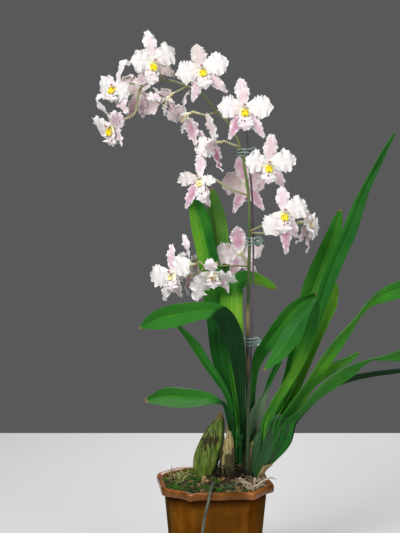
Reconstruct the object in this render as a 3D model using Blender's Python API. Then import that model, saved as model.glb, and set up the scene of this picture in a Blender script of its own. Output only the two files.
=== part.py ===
"""Cambria orchid in an eight-sided glazed pot, with its flower spike, blooms, leaves, bulbs and stake.

Sizes and places in the tables are millimetres; meshes are made in metres. +Z is up, the viewer
is towards -Y, and the origin is the middle of the pot's underside.
"""
import math

import bmesh
import bpy
from mathutils import Matrix, Vector, noise

MM = 0.001
FIT_GAP = 0.3

# Pot: an octagon with long and short sides in turn
POT_HEIGHT = 129.5
POT_LONG_ARC = 58.0
POT_TURN = 7.0
POT_BASE_RADIUS = 58.5
POT_TOP_RADIUS = 70.5
LIP_RADIUS = 80.0
LIP_HEIGHT = 10.5
# The lip from its underside to its inner edge: how far inside its radius, and above the neck
LIP_PROFILE = ((4.0, 0.5), (0.0, 2.5), (0.0, LIP_HEIGHT - 2.5), (2.0, LIP_HEIGHT), (6.0, LIP_HEIGHT - 1.0))
LIP_BULGE = 0.6
POT_WALL = 4.0
POT_FLOOR = 8.0
FOOT_ROUNDING = 1.5
# How far the inner wall flares out, and how high, above the neck
THROAT = (3.0, 2.0)
SIDE_POINTS = 2

# Growing medium
MEDIUM_EDGE_HEIGHT = 123.0
MEDIUM_MOUND = 11.0
MEDIUM_RADIUS = 69.9
MEDIUM_RINGS = 4
BARK_RELIEF = 2.2
BARK_GRAIN = 0.11
BARK_SEED = 3.7

# Leaves
LEAF_THICKNESS = 1.2
LEAF_FOLD = 0.16
LEAF_ROWS = 9
LEAF_TIP_REACH = 0.7
LEAF_TIP_WIDTH = 1.2
FINE_STEPS = 8

# Blooms
TEPAL_THICKNESS = 0.9
TEPAL_ROWS = 4
TEPAL_CUP = 0.07
TEPAL_BEND = 0.55
KNOB_RADIUS = 3.6
STUB_LENGTH = 5.0
STUB_RADIUS = 1.4
STUB_RUN = 4.0
COLUMN_LENGTH = 9.0
COLUMN_RADIUS = 1.9
COLUMN_TIP_RADIUS = 1.4
COLUMN_LIFT = 2.0
CREST_SIZE = (5.0, 4.4, 1.6)
CREST_STEPS = 12
CREST_ROW = 3

# Flower spike and support
PEDICEL_RADIUS = 1.05
BRANCH_RADIUS = 1.1
STAKE_RADIUS = 1.25
CLIP_WIRE_RADIUS = 0.85
CLIP_BAR_RADIUS = 1.0
CLIP_COIL_RADII = (5.4, 2.9)
COIL_STEPS = 8
COIL_HALF_WIDTH = 0.9
COIL_HALF_DEPTH = 2.0
# How far a clip's coil lies beside and before the stake, and how far its prongs reach past the stem
CLIP_REACH = 5.8
CLIP_FORWARD = 3.7
CLIP_BAR = 5.0
CLIP_FRONT = 4.2
CLIP_BACK = 3.6
CLIP_LEFT = 5.6
PRONG_RISES = (-4.0, 0.0, 4.0)

VIEW = Vector((0.0, -1.0, 0.0))


def clear_scene():
    for old in list(bpy.data.objects):
        bpy.data.objects.remove(old, do_unlink=True)


def make_material(name, color, roughness, metallic=0.0):
    material = bpy.data.materials.new(name)
    material.use_nodes = True
    shader = material.node_tree.nodes["Principled BSDF"]
    shader.inputs["Base Color"].default_value = (*color, 1.0)
    shader.inputs["Roughness"].default_value = roughness
    shader.inputs["Metallic"].default_value = metallic
    material.diffuse_color = (*color, 1.0)
    return material


def link_object(name, mesh, material, smooth=True):
    """An object in the scene from a mesh whose points are already in metres."""
    if smooth:
        mesh.shade_smooth()
        mesh.set_sharp_from_angle(angle=math.radians(50))
    mesh.materials.clear()
    mesh.materials.append(material)
    result = bpy.data.objects.new(name, mesh)
    bpy.context.collection.objects.link(result)
    return result


def mesh_from_bmesh(name, bm):
    """Scales the millimetre points to metres, turns the faces outwards and ends the bmesh."""
    bmesh.ops.scale(bm, vec=(MM, MM, MM), verts=bm.verts)
    bmesh.ops.recalc_face_normals(bm, faces=bm.faces)
    mesh = bpy.data.meshes.new(name)
    bm.to_mesh(mesh)
    bm.free()
    return mesh


def evaluated_mesh(source):
    """The source's mesh with its modifiers or curve bevel applied."""
    graph = bpy.context.evaluated_depsgraph_get()
    return bpy.data.meshes.new_from_object(source.evaluated_get(graph))


def joined(name, pieces, material):
    """One body from overlapping pieces, by a Boolean union of their collection."""
    base, others = pieces[0], pieces[1:]
    group = bpy.data.collections.new(name + "_pieces")
    for piece in others:
        for home in list(piece.users_collection):
            home.objects.unlink(piece)
        group.objects.link(piece)
    bpy.context.scene.collection.children.link(group)
    union = base.modifiers.new("Union", "BOOLEAN")
    union.operation = "UNION"
    union.operand_type = "COLLECTION"
    union.collection = group
    union.solver = "EXACT"
    mesh = evaluated_mesh(base)
    mesh.name = name
    for piece in pieces:
        bpy.data.objects.remove(piece, do_unlink=True)
    bpy.data.collections.remove(group)
    return link_object(name, mesh, material)


def smooth_path(points, steps):
    """A Catmull-Rom curve through the points, with a number of steps between each pair."""
    knots = [Vector(p) for p in points]
    ends = [2 * knots[0] - knots[1]] + knots + [2 * knots[-1] - knots[-2]]
    path = []
    for i in range(len(knots) - 1):
        a, b, c, d = ends[i:i + 4]
        for step in range(steps):
            t = step / steps
            path.append(0.5 * (2 * b + (c - a) * t + (2 * a - 5 * b + 4 * c - d) * t ** 2
                               + (3 * b - a - 3 * c + d) * t ** 3))
    path.append(knots[-1])
    return path


def tube(name, path, radii, material, sides_step=1):
    """A round rod along the path, as a mesh made from a bevelled curve with filled caps."""
    data = bpy.data.curves.new(name, "CURVE")
    data.dimensions = "3D"
    data.bevel_depth = MM
    data.bevel_resolution = sides_step
    data.use_fill_caps = True
    spline = data.splines.new("POLY")
    spline.points.add(len(path) - 1)
    for index, place in enumerate(path):
        spline.points[index].co = (*(Vector(place) * MM), 1.0)
        spline.points[index].radius = radii[index]
    rod = bpy.data.objects.new(name, data)
    bpy.context.collection.objects.link(rod)
    mesh = evaluated_mesh(rod)
    bpy.data.objects.remove(rod, do_unlink=True)
    bm = bmesh.new()
    bm.from_mesh(mesh)
    bmesh.ops.remove_doubles(bm, verts=bm.verts, dist=1e-6)
    bmesh.ops.recalc_face_normals(bm, faces=bm.faces)
    bm.to_mesh(mesh)
    bm.free()
    return link_object(name, mesh, material)


def evenly(first, last, count):
    """Numbers in even steps from the first to the last."""
    return [first + (last - first) * i / (count - 1) for i in range(count)]


def closed_loft(name, rings, material, smooth=True):
    """A closed solid through rings with the same number of points, capped at both ends."""
    bm = bmesh.new()
    loops = [[bm.verts.new(p) for p in ring] for ring in rings]
    count = len(loops[0])
    for low, high in zip(loops, loops[1:]):
        for i in range(count):
            j = (i + 1) % count
            bm.faces.new((low[i], low[j], high[j], high[i]))
    bm.faces.new(loops[0])
    bm.faces.new(loops[-1])
    return link_object(name, mesh_from_bmesh(name, bm), material, smooth)


def octagon(radius, bulge=0.0):
    """Points round the pot's outline, SIDE_POINTS to a side, with the sides bowed by bulge."""
    short_arc = 90.0 - POT_LONG_ARC
    corners = []
    angle = POT_TURN - POT_LONG_ARC / 2
    for side in range(8):
        corners.append(Vector((math.sin(math.radians(angle)), -math.cos(math.radians(angle)))) * radius)
        angle += POT_LONG_ARC if side % 2 == 0 else short_arc
    outline = []
    for here, there in zip(corners, corners[1:] + corners[:1]):
        outward = (here + there).normalized()
        for k in range(SIDE_POINTS):
            t = k / SIDE_POINTS
            outline.append(here.lerp(there, t) + outward * bulge * math.sin(math.pi * t))
    return outline


def octagon_ring(radius, z, bulge=0.0):
    return [(p.x, p.y, z) for p in octagon(radius, bulge)]


def pot_inner_radius(z):
    """The inner wall's corner radius at a height, which tapers with the outside."""
    slope = (POT_TOP_RADIUS - POT_BASE_RADIUS) / (POT_HEIGHT - LIP_HEIGHT)
    return POT_BASE_RADIUS + slope * z - POT_WALL


def pot(glaze):
    """Tapered eight-sided pot with a flared, rolled lip and a flat underside."""
    neck = POT_HEIGHT - LIP_HEIGHT
    flare, rise = THROAT
    rings = [
        octagon_ring(POT_BASE_RADIUS - FOOT_ROUNDING, 0.0),
        octagon_ring(POT_BASE_RADIUS, FOOT_ROUNDING),
        octagon_ring(POT_TOP_RADIUS, neck - 1.0),
        *[octagon_ring(LIP_RADIUS - inset, neck + above, LIP_BULGE) for inset, above in LIP_PROFILE],
        octagon_ring(pot_inner_radius(neck) + flare, neck + rise),
        octagon_ring(pot_inner_radius(neck - POT_WALL), neck - POT_WALL),
        octagon_ring(pot_inner_radius(POT_FLOOR), POT_FLOOR),
    ]
    return closed_loft("pot", rings, glaze, smooth=False)


def medium_height(x, y):
    """Mounded bark surface with lumps of the size of bark chips, level at the pot's wall."""
    away = min(1.0, math.hypot(x, y) / MEDIUM_RADIUS)
    lumps = BARK_RELIEF * noise.noise(Vector((x * BARK_GRAIN, y * BARK_GRAIN, BARK_SEED)))
    return MEDIUM_EDGE_HEIGHT + (MEDIUM_MOUND + lumps) * (1.0 - away ** 2)


def medium(bark, cutters):
    """Bark and moss that fill the pot, with a plain hole for everything that stands in it."""
    neck = POT_HEIGHT - LIP_HEIGHT
    flare, rise = THROAT
    floor_z = POT_FLOOR + FIT_GAP
    rings = [
        octagon_ring(pot_inner_radius(floor_z) - FIT_GAP, floor_z),
        octagon_ring(pot_inner_radius(neck - POT_WALL) - FIT_GAP, neck - POT_WALL),
        octagon_ring(pot_inner_radius(neck) + flare - 2 * FIT_GAP, neck + rise),
    ]
    for step in range(MEDIUM_RINGS):
        share = 1.0 - step / MEDIUM_RINGS
        rings.append([(p.x, p.y, medium_height(p.x, p.y)) for p in octagon(MEDIUM_RADIUS * share)])
    solid = closed_loft("medium", rings, bark)
    for cutter in cutters:
        cut = solid.modifiers.new(cutter.name, "BOOLEAN")
        cut.operation = "DIFFERENCE"
        cut.solver = "EXACT"
        cut.object = cutter
        cutter.hide_render = True
        cutter.display_type = "WIRE"
    return solid


def leaf_frames(stations, rows):
    """Centre points, directions, sides and widths at even shares of a leaf's curved midrib."""
    path = smooth_path([s[:3] for s in stations], FINE_STEPS)
    widths = [p.x for p in smooth_path([(s[3], 0, 0) for s in stations], FINE_STEPS)]
    rolls = [p.x for p in smooth_path([(s[4], 0, 0) for s in stations], FINE_STEPS)]
    kept = {round(row * (len(path) - 1) / rows) for row in range(rows + 1)}
    frames = []
    side = None
    for i, here in enumerate(path):
        ahead = path[min(i + 1, len(path) - 1)]
        behind = path[max(i - 1, 0)]
        along = (ahead - behind).normalized()
        if side is None:
            side = along.cross(VIEW)
        side = (side - along * side.dot(along)).normalized()
        if i in kept:
            turned = Matrix.Rotation(math.radians(rolls[i]), 3, along) @ side
            frames.append((here, along, turned, widths[i]))
    return frames


def leaf_mesh(name, stations, grow=0.0):
    """The leaf's middle surface: a shallow trough along the midrib, narrowed to a blunt tip."""
    frames = leaf_frames(stations, LEAF_ROWS)
    here, along, side, width = frames[-1]
    frames.append((here + along * width * LEAF_TIP_REACH, along, side, LEAF_TIP_WIDTH))
    foot = stations[0][2] - grow
    bm = bmesh.new()
    rows = []
    for here, along, side, width in frames:
        half = width / 2 + grow
        normal = along.cross(side)
        lift = normal * width * LEAF_FOLD
        rows.append([bm.verts.new(here - side * half - lift / 2), bm.verts.new(here + lift / 2),
                     bm.verts.new(here + side * half - lift / 2)])
    for vert in rows[0]:
        vert.co.z = foot
    for low, high in zip(rows, rows[1:]):
        bm.faces.new((low[0], low[1], high[1], high[0]))
        bm.faces.new((low[1], low[2], high[2], high[1]))
    bmesh.ops.triangulate(bm, faces=bm.faces)
    bmesh.ops.scale(bm, vec=(MM, MM, MM), verts=bm.verts)
    mesh = bpy.data.meshes.new(name)
    bm.to_mesh(mesh)
    bm.free()
    return mesh


def thickened(item, thickness):
    """The item with a Solidify modifier that gives its surface the same skin on both sides."""
    shell = item.modifiers.new("Thickness", "SOLIDIFY")
    shell.thickness = thickness * MM
    shell.offset = 0.0
    shell.use_even_offset = False
    return item


def leaf(name, stations, green, grow=0.0):
    """A leaf with its thickness, or its cutter where it is grown by a gap."""
    mesh = leaf_mesh(name, stations, grow)
    return thickened(link_object(name, mesh, green), LEAF_THICKNESS + 2 * grow)


# Width along each kind of tepal, in mm, at even steps from the base to the tip
TEPAL_WIDTHS = {
    "dorsal": (3.5, 8, 17, 17, 5),
    "petal": (3.5, 9, 23, 27, 9),
    "sepal": (3.5, 7, 13, 14, 4),
    "lip": (5, 12, 16, 16, 7),
}
# Ruffle height at the margins and the forward rise of the middle, in mm
TEPAL_RUFFLE = {"dorsal": 1.2, "petal": 2.2, "sepal": 1.0, "lip": 1.8}
TEPAL_RISE = {"dorsal": 2.0, "petal": 5.0, "sepal": 1.0, "lip": 9.0}
# How far the base sits in front of the sepals' plane, in mm
TEPAL_FORWARD = {"dorsal": 0.0, "petal": 1.6, "sepal": 0.0, "lip": 2.2}
TWO_CELLED = ("petal", "lip")


def tepal_frames(kind, tip, face, rows):
    """Centre points, sides and widths of one tepal, which bends in the plane of the facing."""
    tip = Vector(tip)
    outward = (tip - face * tip.dot(face)).normalized()
    side = face.cross(outward)
    control = outward * tip.length * TEPAL_BEND + face * TEPAL_RISE[kind]
    widths = TEPAL_WIDTHS[kind]
    frames = []
    for row in range(rows + 1):
        t = row / rows
        place = control * 2 * t * (1 - t) + tip * t * t + face * TEPAL_FORWARD[kind] * (1 - t)
        along = (control * (1 - 2 * t) * 2 + tip * 2 * t).normalized()
        step = t * (len(widths) - 1)
        low = min(int(step), len(widths) - 2)
        width = widths[low] + (widths[low + 1] - widths[low]) * (step - low)
        frames.append((t, place, along.cross(side), side, width))
    return frames


def tepal(name, kind, tip, face, centre, white):
    """A thin cupped sheet with ruffled margins."""
    bm = bmesh.new()
    rows = []
    for i, (t, place, normal, side, width) in enumerate(tepal_frames(kind, tip, face, TEPAL_ROWS)):
        half = side * width / 2
        wave = TEPAL_RUFFLE[kind] * (1 if i % 2 else -1) * min(1.0, t * 2)
        cup = -TEPAL_CUP * width
        places = [place - half + normal * (cup + wave), place + half + normal * (cup - wave)]
        if kind in TWO_CELLED:
            places.insert(1, place)
        rows.append([bm.verts.new(p) for p in places])
    for low, high in zip(rows, rows[1:]):
        for k in range(len(low) - 1):
            bm.faces.new((low[k], low[k + 1], high[k + 1], high[k]))
    bmesh.ops.triangulate(bm, faces=bm.faces)
    bmesh.ops.translate(bm, vec=centre, verts=bm.verts)
    bmesh.ops.scale(bm, vec=(MM, MM, MM), verts=bm.verts)
    mesh = bpy.data.meshes.new(name)
    bm.to_mesh(mesh)
    bm.free()
    return thickened(link_object(name, mesh, white), TEPAL_THICKNESS)


def knob(name, centre, white):
    """The round middle of a bloom, where its tepals meet."""
    bm = bmesh.new()
    bmesh.ops.create_icosphere(bm, subdivisions=1, radius=KNOB_RADIUS)
    bmesh.ops.translate(bm, vec=centre, verts=bm.verts)
    return link_object(name, mesh_from_bmesh(name, bm), white)


def bloom(name, centre, face, tips, white):
    """One orchid bloom: three sepals, two petals, the lip, the column and the stub of its ovary."""
    centre = Vector(centre)
    face = Vector(face).normalized()
    up = Vector(tips["dorsal"])
    up = (up - face * up.dot(face)).normalized()
    pieces = [knob(name + "_knob", centre, white)]
    for part, tip in tips.items():
        kind = part.split("_")[0]
        pieces.append(tepal(name + "_" + part, kind, tip, face, centre, white))
    column_end = centre + face * COLUMN_LENGTH + up * COLUMN_LIFT
    pieces.append(tube(name + "_column", [centre + up, column_end], [COLUMN_RADIUS, COLUMN_TIP_RADIUS],
                       white))
    stub = [centre - face, centre - face * STUB_LENGTH]
    pieces.append(tube(name + "_stub", stub, [STUB_RADIUS, STUB_RADIUS], white))
    return joined(name, pieces, white)


def crest(name, centre, face, tips, yellow):
    """The yellow callus on the throat of the lip, in front of the bloom's knob."""
    face = Vector(face).normalized()
    place, normal, side = tepal_frames("lip", tips["lip"], face, CREST_STEPS)[CREST_ROW][1:4]
    along = side.cross(normal)
    lift = TEPAL_THICKNESS / 2 + FIT_GAP + CREST_SIZE[2]
    spot = Vector(centre) + place + normal * lift
    bm = bmesh.new()
    bmesh.ops.create_icosphere(bm, subdivisions=1, radius=1.0)
    wide, long, high = CREST_SIZE
    for vert in bm.verts:
        x, y, z = vert.co
        vert.co = spot + side * x * wide + along * y * long + normal * z * high
    return link_object(name, mesh_from_bmesh(name, bm), yellow)


# Blooms whose yellow crest shows from outside and is a piece of its own
CRESTED = ("bloom_01", "bloom_02", "bloom_03", "bloom_04", "bloom_08", "bloom_09", "bloom_10",
           "bloom_12", "bloom_13", "bloom_16", "bloom_17")

# Centre, facing direction and tip of each tepal from the centre, for every bloom
BLOOMS = {
    "bloom_01": ((-75, -18, 652), (0.3, -0.93, -0.15), {
        "dorsal": (-7, -8, 36), "petal_l": (-28, -9, -1), "petal_r": (27, 6, 15),
        "sepal_l": (-21, 2, -30), "sepal_r": (27, 15, -17), "lip": (-3, -10, -28)}),
    "bloom_02": ((-16, -30, 641), (0.05, -0.97, 0.1), {
        "dorsal": (-7, 3, 31), "petal_l": (-32, -2, -7), "petal_r": (33, 3, 11),
        "sepal_l": (-11, 2, -40), "sepal_r": (32, 4, -28), "lip": (5, -9, -25)}),
    "bloom_03": ((-123, -6, 623), (-0.55, -0.8, -0.1), {
        "dorsal": (16, -15, 24), "petal_l": (-22, 15, -2), "petal_r": (17, -10, -14),
        "sepal_l": (-13, 17, 14), "sepal_r": (13, -6, -34), "lip": (-7, -5, -20)}),
    "bloom_04": ((-127, -18, 575), (-0.6, -0.62, -0.5), {
        "dorsal": (-10, -19, 36), "petal_l": (-22, 25, -2), "petal_r": (14, -26, 9),
        "sepal_l": (9, 16, -22), "sepal_r": (11, -16, -26), "lip": (-2, 6, -27)}),
    "bloom_05": ((-94, 16, 618), (-0.15, 0.97, -0.15), {
        "dorsal": (14, 12, 24), "petal_l": (-24, -1, 16), "petal_r": (19, 2, -28),
        "sepal_l": (-14, -2, -33), "sepal_r": (4, 2, -32), "lip": (-6, 12, -19)}),
    "bloom_06": ((-59, -18, 606), (-0.75, -0.1, -0.65), {
        "dorsal": (-17, -6, 10), "petal_l": (-22, -12, -3), "petal_r": (4, 14, 12),
        "sepal_l": (6, 8, -17), "sepal_r": (19, -4, -12), "lip": (-5, -5, -18)}),
    "bloom_07": ((-35, 6, 589), (-0.9, -0.2, -0.35), {
        "dorsal": (1, 4, 31), "petal_l": (-23, 2, -4), "petal_r": (-5, 32, -2),
        "sepal_l": (9, -6, -39), "sepal_r": (21, 12, -27), "lip": (-8, -4, -22)}),
    "bloom_08": ((0, -12, 554), (-0.85, -0.48, 0.05), {
        "dorsal": (-12, 4, 34), "petal_l": (-25, 14, -9), "petal_r": (-13, -26, -6),
        "sepal_l": (9, 10, -22), "sepal_r": (7, -6, -38), "lip": (-16, -12, -14)}),
    "bloom_09": ((36, -30, 594), (0.0, -0.98, 0.1), {
        "dorsal": (-5, 4, 37), "petal_l": (-33, 0, 2), "petal_r": (36, 0, 2),
        "sepal_l": (-19, 2, -38), "sepal_r": (25, 2, -36), "lip": (2, -9, -28)}),
    "bloom_10": ((65, -26, 526), (0.15, -0.97, 0.0), {
        "dorsal": (6, 1, 37), "petal_l": (-27, -10, 5), "petal_r": (36, 6, 7),
        "sepal_l": (-12, 16, -32), "sepal_r": (23, 18, -29), "lip": (1, -9, -24)}),
    "bloom_11": ((40, 24, 503), (0.0, 0.98, 0.1), {
        "dorsal": (-9, 3, 33), "petal_l": (26, 4, 8), "petal_r": (-32, 2, 1),
        "sepal_l": (23, 6, -33), "sepal_r": (-15, 7, -36), "lip": (0, 10, -23)}),
    "bloom_12": ((-18, -11, 509), (-0.4, -0.9, 0.05), {
        "dorsal": (1, 1, 34), "petal_l": (-29, 14, -1), "petal_r": (18, -14, -4),
        "sepal_l": (-19, 12, -38), "sepal_r": (11, 2, -36), "lip": (4, -9, -31)}),
    "bloom_13": ((85, -28, 468), (0.12, -0.97, 0.0), {
        "dorsal": (-3, 0, 31), "petal_l": (-23, -4, -28), "petal_r": (29, 4, 9),
        "sepal_l": (4, 10, -54), "sepal_r": (18, 14, -34), "lip": (-1, -9, -27)}),
    "bloom_14": ((114, 6, 455), (0.9, -0.4, 0.1), {
        "dorsal": (9, 14, 12), "petal_l": (11, -20, -14), "petal_r": (20, 13, -6),
        "sepal_l": (-10, -5, -29), "sepal_r": (7, 9, -39), "lip": (16, -4, -15)}),
    "bloom_15": ((33, 22, 415), (-0.15, 0.95, 0.15), {
        "dorsal": (-5, -4, 34), "petal_l": (30, 6, 10), "petal_r": (-34, -3, -2),
        "sepal_l": (22, 14, -33), "sepal_r": (-12, 8, -34), "lip": (4, 12, -20)}),
    "bloom_16": ((-3, -20, 394), (-0.08, -0.45, -0.89), {
        "dorsal": (-3, -14, 16), "petal_l": (-18, 0, -36), "petal_r": (30, 0, -14),
        "sepal_l": (-22, 14, -20), "sepal_r": (19, 14, -28), "lip": (1, 2, -20)}),
    "bloom_17": ((-52, -22, 392), (-0.45, -0.88, 0.0), {
        "dorsal": (-2, 4, 36), "petal_l": (-29, 17, -7), "petal_r": (20, -14, 17),
        "sepal_l": (-12, 12, -36), "sepal_r": (10, 4, -31), "lip": (-2, -9, -22)}),
    "bloom_18": ((-31, 10, 401), (-0.82, 0.4, -0.06), {
        "dorsal": (-8, 4, 38), "petal_l": (14, 28, -6), "petal_r": (-15, -17, 2),
        "sepal_l": (4, 21, -32), "sepal_r": (-6, -4, -37), "lip": (-18, 6, -18)}),
}

# Where each bloom's stalk leaves the stem, then the points that it passes, for every bloom
PEDICELS = {
    "bloom_01": ((-63, 0, 631), (-68, -4, 640)),
    "bloom_02": ((-23, 0, 618), (-20, -10, 628)),
    "bloom_03": ((-88, 0, 624), (-104, 3, 627)),
    "bloom_04": ((-93, 0, 621), (-96, -1, 604), (-99, -2, 590), (-108, -4, 584)),
    "bloom_05": ((-91, 0, 622), (-92, 5, 620)),
    "bloom_06": ((-35, 0, 623), (-42, -2, 619), (-49, -6, 615)),
    "bloom_07": ((3, 0, 592), (-10, 1, 588), (-20, 3, 590)),
    "bloom_08": ((31, 0, 548), (20, -3, 552), (12, -6, 555)),
    "bloom_09": ((18, 0, 577), (26, -6, 586), (33, -16, 591)),
    "bloom_10": ((35, 0, 535), (50, -4, 531), (61, -12, 527)),
    "bloom_11": ((43, 0, 480), (42, 8, 492)),
    "bloom_12": ((43, 0, 488), (20, -4, 496), (0, -6, 508), (-10, -8, 511)),
    "bloom_13": ((44, 0, 443), (60, -6, 451), (76, -14, 462)),
    "bloom_14": ((44, 0, 441), (66, 3, 441), (90, 7, 446), (104, 9, 452)),
    "bloom_15": ((44, 0, 396), (38, 6, 408)),
    "bloom_16": ((6, -4, 400), (3, -8, 405), (0, -12, 402)),
    "bloom_17": ((-11, -6, 398), (-28, -13, 388), (-42, -15, 390)),
    "bloom_18": ((-11, -6, 398), (-18, -3, 405)),
}

# Stem of the flower spike, with its radius, from the bark to its drooping tip
STEM = ((41, -8, 108, 2.4), (41, -8, 141, 2.4), (42, -8, 180, 2.4), (42, -5, 231, 2.3), (42, -1, 307, 2.2),
        (43, 0, 383, 2.1), (44, 0, 433, 2.0), (43, 0, 483, 1.9), (38, 0, 520, 1.8), (33, 0, 545, 1.7),
        (26, 0, 564, 1.6), (18, 0, 577, 1.5), (3, 0, 592, 1.4), (-16, 0, 614, 1.4), (-34, 0, 623, 1.3),
        (-50, 0, 629, 1.3), (-63, 0, 631, 1.2), (-79, 0, 628, 1.2), (-88, 0, 624, 1.1), (-93, 0, 621, 1.1))
# Side branch that carries the three lowest blooms on the left
BRANCH = ((44, 0, 399), (26, -2, 400), (6, -4, 400), (-11, -6, 398))

STAKE = ((41, -3, 60), (41, -3, 123), (43, -3, 181), (44, -1, 230), (47, 3, 306), (49, 4, 382),
         (49, 5, 430), (48, 5, 477), (43, 5, 541), (40, 5, 569))
CLIP_HEIGHTS = {"clip_top": 541, "clip_middle": 430, "clip_low": 304}

# Roots that leave the medium, with their radius at both ends
ROOT_OVER_RIM_RADII = (1.2, 1.8)
ROOT_RIGHT_RADII = (1.3, 0.8)
ROOT_HOLE_RADIUS = 1.5
ROOT_OVER_RIM = ((0, -25, 127), (1, -40, 135), (-3, -59, 136), (-5, -69, 134), (-6.5, -75.5, 128),
                 (-8.5, -76.5, 118), (-12, -75, 104), (-14.5, -73, 86), (-16.5, -72, 66), (-18, -72, 46))
ROOT_RIGHT = ((45, -28, 122), (54, -35, 131), (62, -41, 138), (69, -46, 142), (75, -49, 141))

# Centre, half width and half depth of each bulb at rising heights
BULB_LEFT = ((-13, 2, 112, 9, 8), (-13, 2, 125, 10, 9), (-13, 2, 133, 12.5, 11),
             (-12, 2, 144, 15.3, 12.5), (-9.5, 2, 157, 16.6, 13), (-5, 2, 171, 16.3, 12.5),
             (-0.5, 2, 187, 13, 10), (4.5, 2, 200, 8.5, 7), (7, 2, 208, 4.5, 4), (6.5, 2, 216, 0.8, 0.8))
BULB_DRY = ((18, -7, 112, 6, 5), (18, -7, 127, 7.5, 6), (17, -7, 151, 8, 6), (18, -7, 166, 7, 5.5),
            (19, -7, 179, 5, 4), (18, -7, 191, 3, 3), (17, -7, 200, 0.8, 0.8))
SHOOT_LEFT = ((33, 2, 112, 5, 4.5), (33, 2, 146, 5.4, 5), (32, 2, 165, 6.2, 6), (32, 2, 178, 7.6, 7),
              (32, 2, 183, 8.6, 7.6))
BULB_RIGHT = ((47, 4, 112, 5, 5), (49.5, 4, 125, 6.5, 6), (54.5, 4, 140, 12, 7.5), (60, 4, 155, 18, 8),
              (65, 4, 172, 22.5, 7), (71, 4, 183, 22, 5.5), (78, 4, 193, 19, 4), (82, 4, 200, 16, 3.2))
# Stations, number of sides and depth of the ribs, as a share of the width, of each bulb
BULBS = {"bulb_left": (BULB_LEFT, 14, 0.03), "bulb_dry": (BULB_DRY, 10, 0.05),
         "shoot_left": (SHOOT_LEFT, 12, 0.0), "bulb_right": (BULB_RIGHT, 14, 0.0)}
# How many of their lowest stations stand in the medium or just over it
SUNK_STATIONS = 4

# Midrib points, width and roll of each leaf, from the base to the tip
LEAVES_LEFT = {
    "leaf_low_left": ((24.5, -2, 183.7, 7, 80), (20, -10, 203, 8, 60), (16.5, -14, 217, 8, 40),
                      (11.5, -19, 228.5, 5, 45), (4, -23, 232.5, 7, 45), (-11, -28, 237, 16, 36),
                      (-34, -33, 238.5, 24, 26), (-60, -36, 240.5, 24, 22), (-77, -38, 238, 12, 18)),
    "leaf_thin_left": ((27, -1.5, 183.7, 7, 80), (24.5, -4, 205, 8, 75), (15.5, -7, 238, 9, 55),
                       (2.5, -10, 260, 12, 45), (-11, -12.5, 280, 13, 40), (-22.5, -15.5, 299, 13, 40),
                       (-34, -19, 313.5, 9, 45), (-46, -23, 327, 5, 50)),
    "leaf_tall_left": ((30, 4.8, 183.7, 7, 80), (28, 9, 208, 9, 30), (20, 13, 240, 18, 0),
                       (9, 16, 285, 25, -10), (4, 16, 330, 27, -12), (-4, 15, 390, 27, -10),
                       (-10, 14, 420, 26, -5), (-18, 10, 455, 25, 5), (-25, 5, 482, 16, 10)),
    "leaf_young": ((32.6, -1, 183.7, 7, 80), (31, -1, 210, 7, 60), (26, -2, 240, 8, 30),
                   (20, -4, 276, 4, 25)),
    "leaf_tall_back": ((35.3, 4, 183.7, 7, 90), (34, 12, 206, 10, 110), (31, 22, 240, 16, 150),
                       (22, 30, 303, 26, 165), (14, 34, 354, 30, 165), (6.5, 36, 405, 30, 165),
                       (3, 32, 454, 26, 165), (-2, 26, 488, 13, 165)),
    "leaf_arch_left": ((37.6, -1, 183.7, 7, 80), (35.5, -7, 205, 8, 55), (33.5, -11, 234, 11, 30),
                       (31, -15, 268, 16, 15), (27, -20, 298, 21, 5), (20, -27, 322, 25, 0),
                       (10, -36, 341, 22, 10), (-6, -43, 348, 20, 28), (-31, -49, 346, 25, 30),
                       (-57, -53, 341, 28, 26), (-76, -55, 335.5, 20, 22), (-87, -56, 330, 7, 20)),
    "leaf_fold_right": ((40.2, 3, 183.7, 6, 90), (39, 5, 208, 7, 110), (34, 4, 240, 10, 150),
                        (28, 4, 290, 20, 170), (22.5, 5, 334, 27, 175), (22.5, 7, 362, 28, 185),
                        (30, 12, 378, 24, 205), (46, 17, 383, 19, 225), (61, 22, 379, 14, 240),
                        (74, 25, 372, 9, 240)),
}
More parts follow.
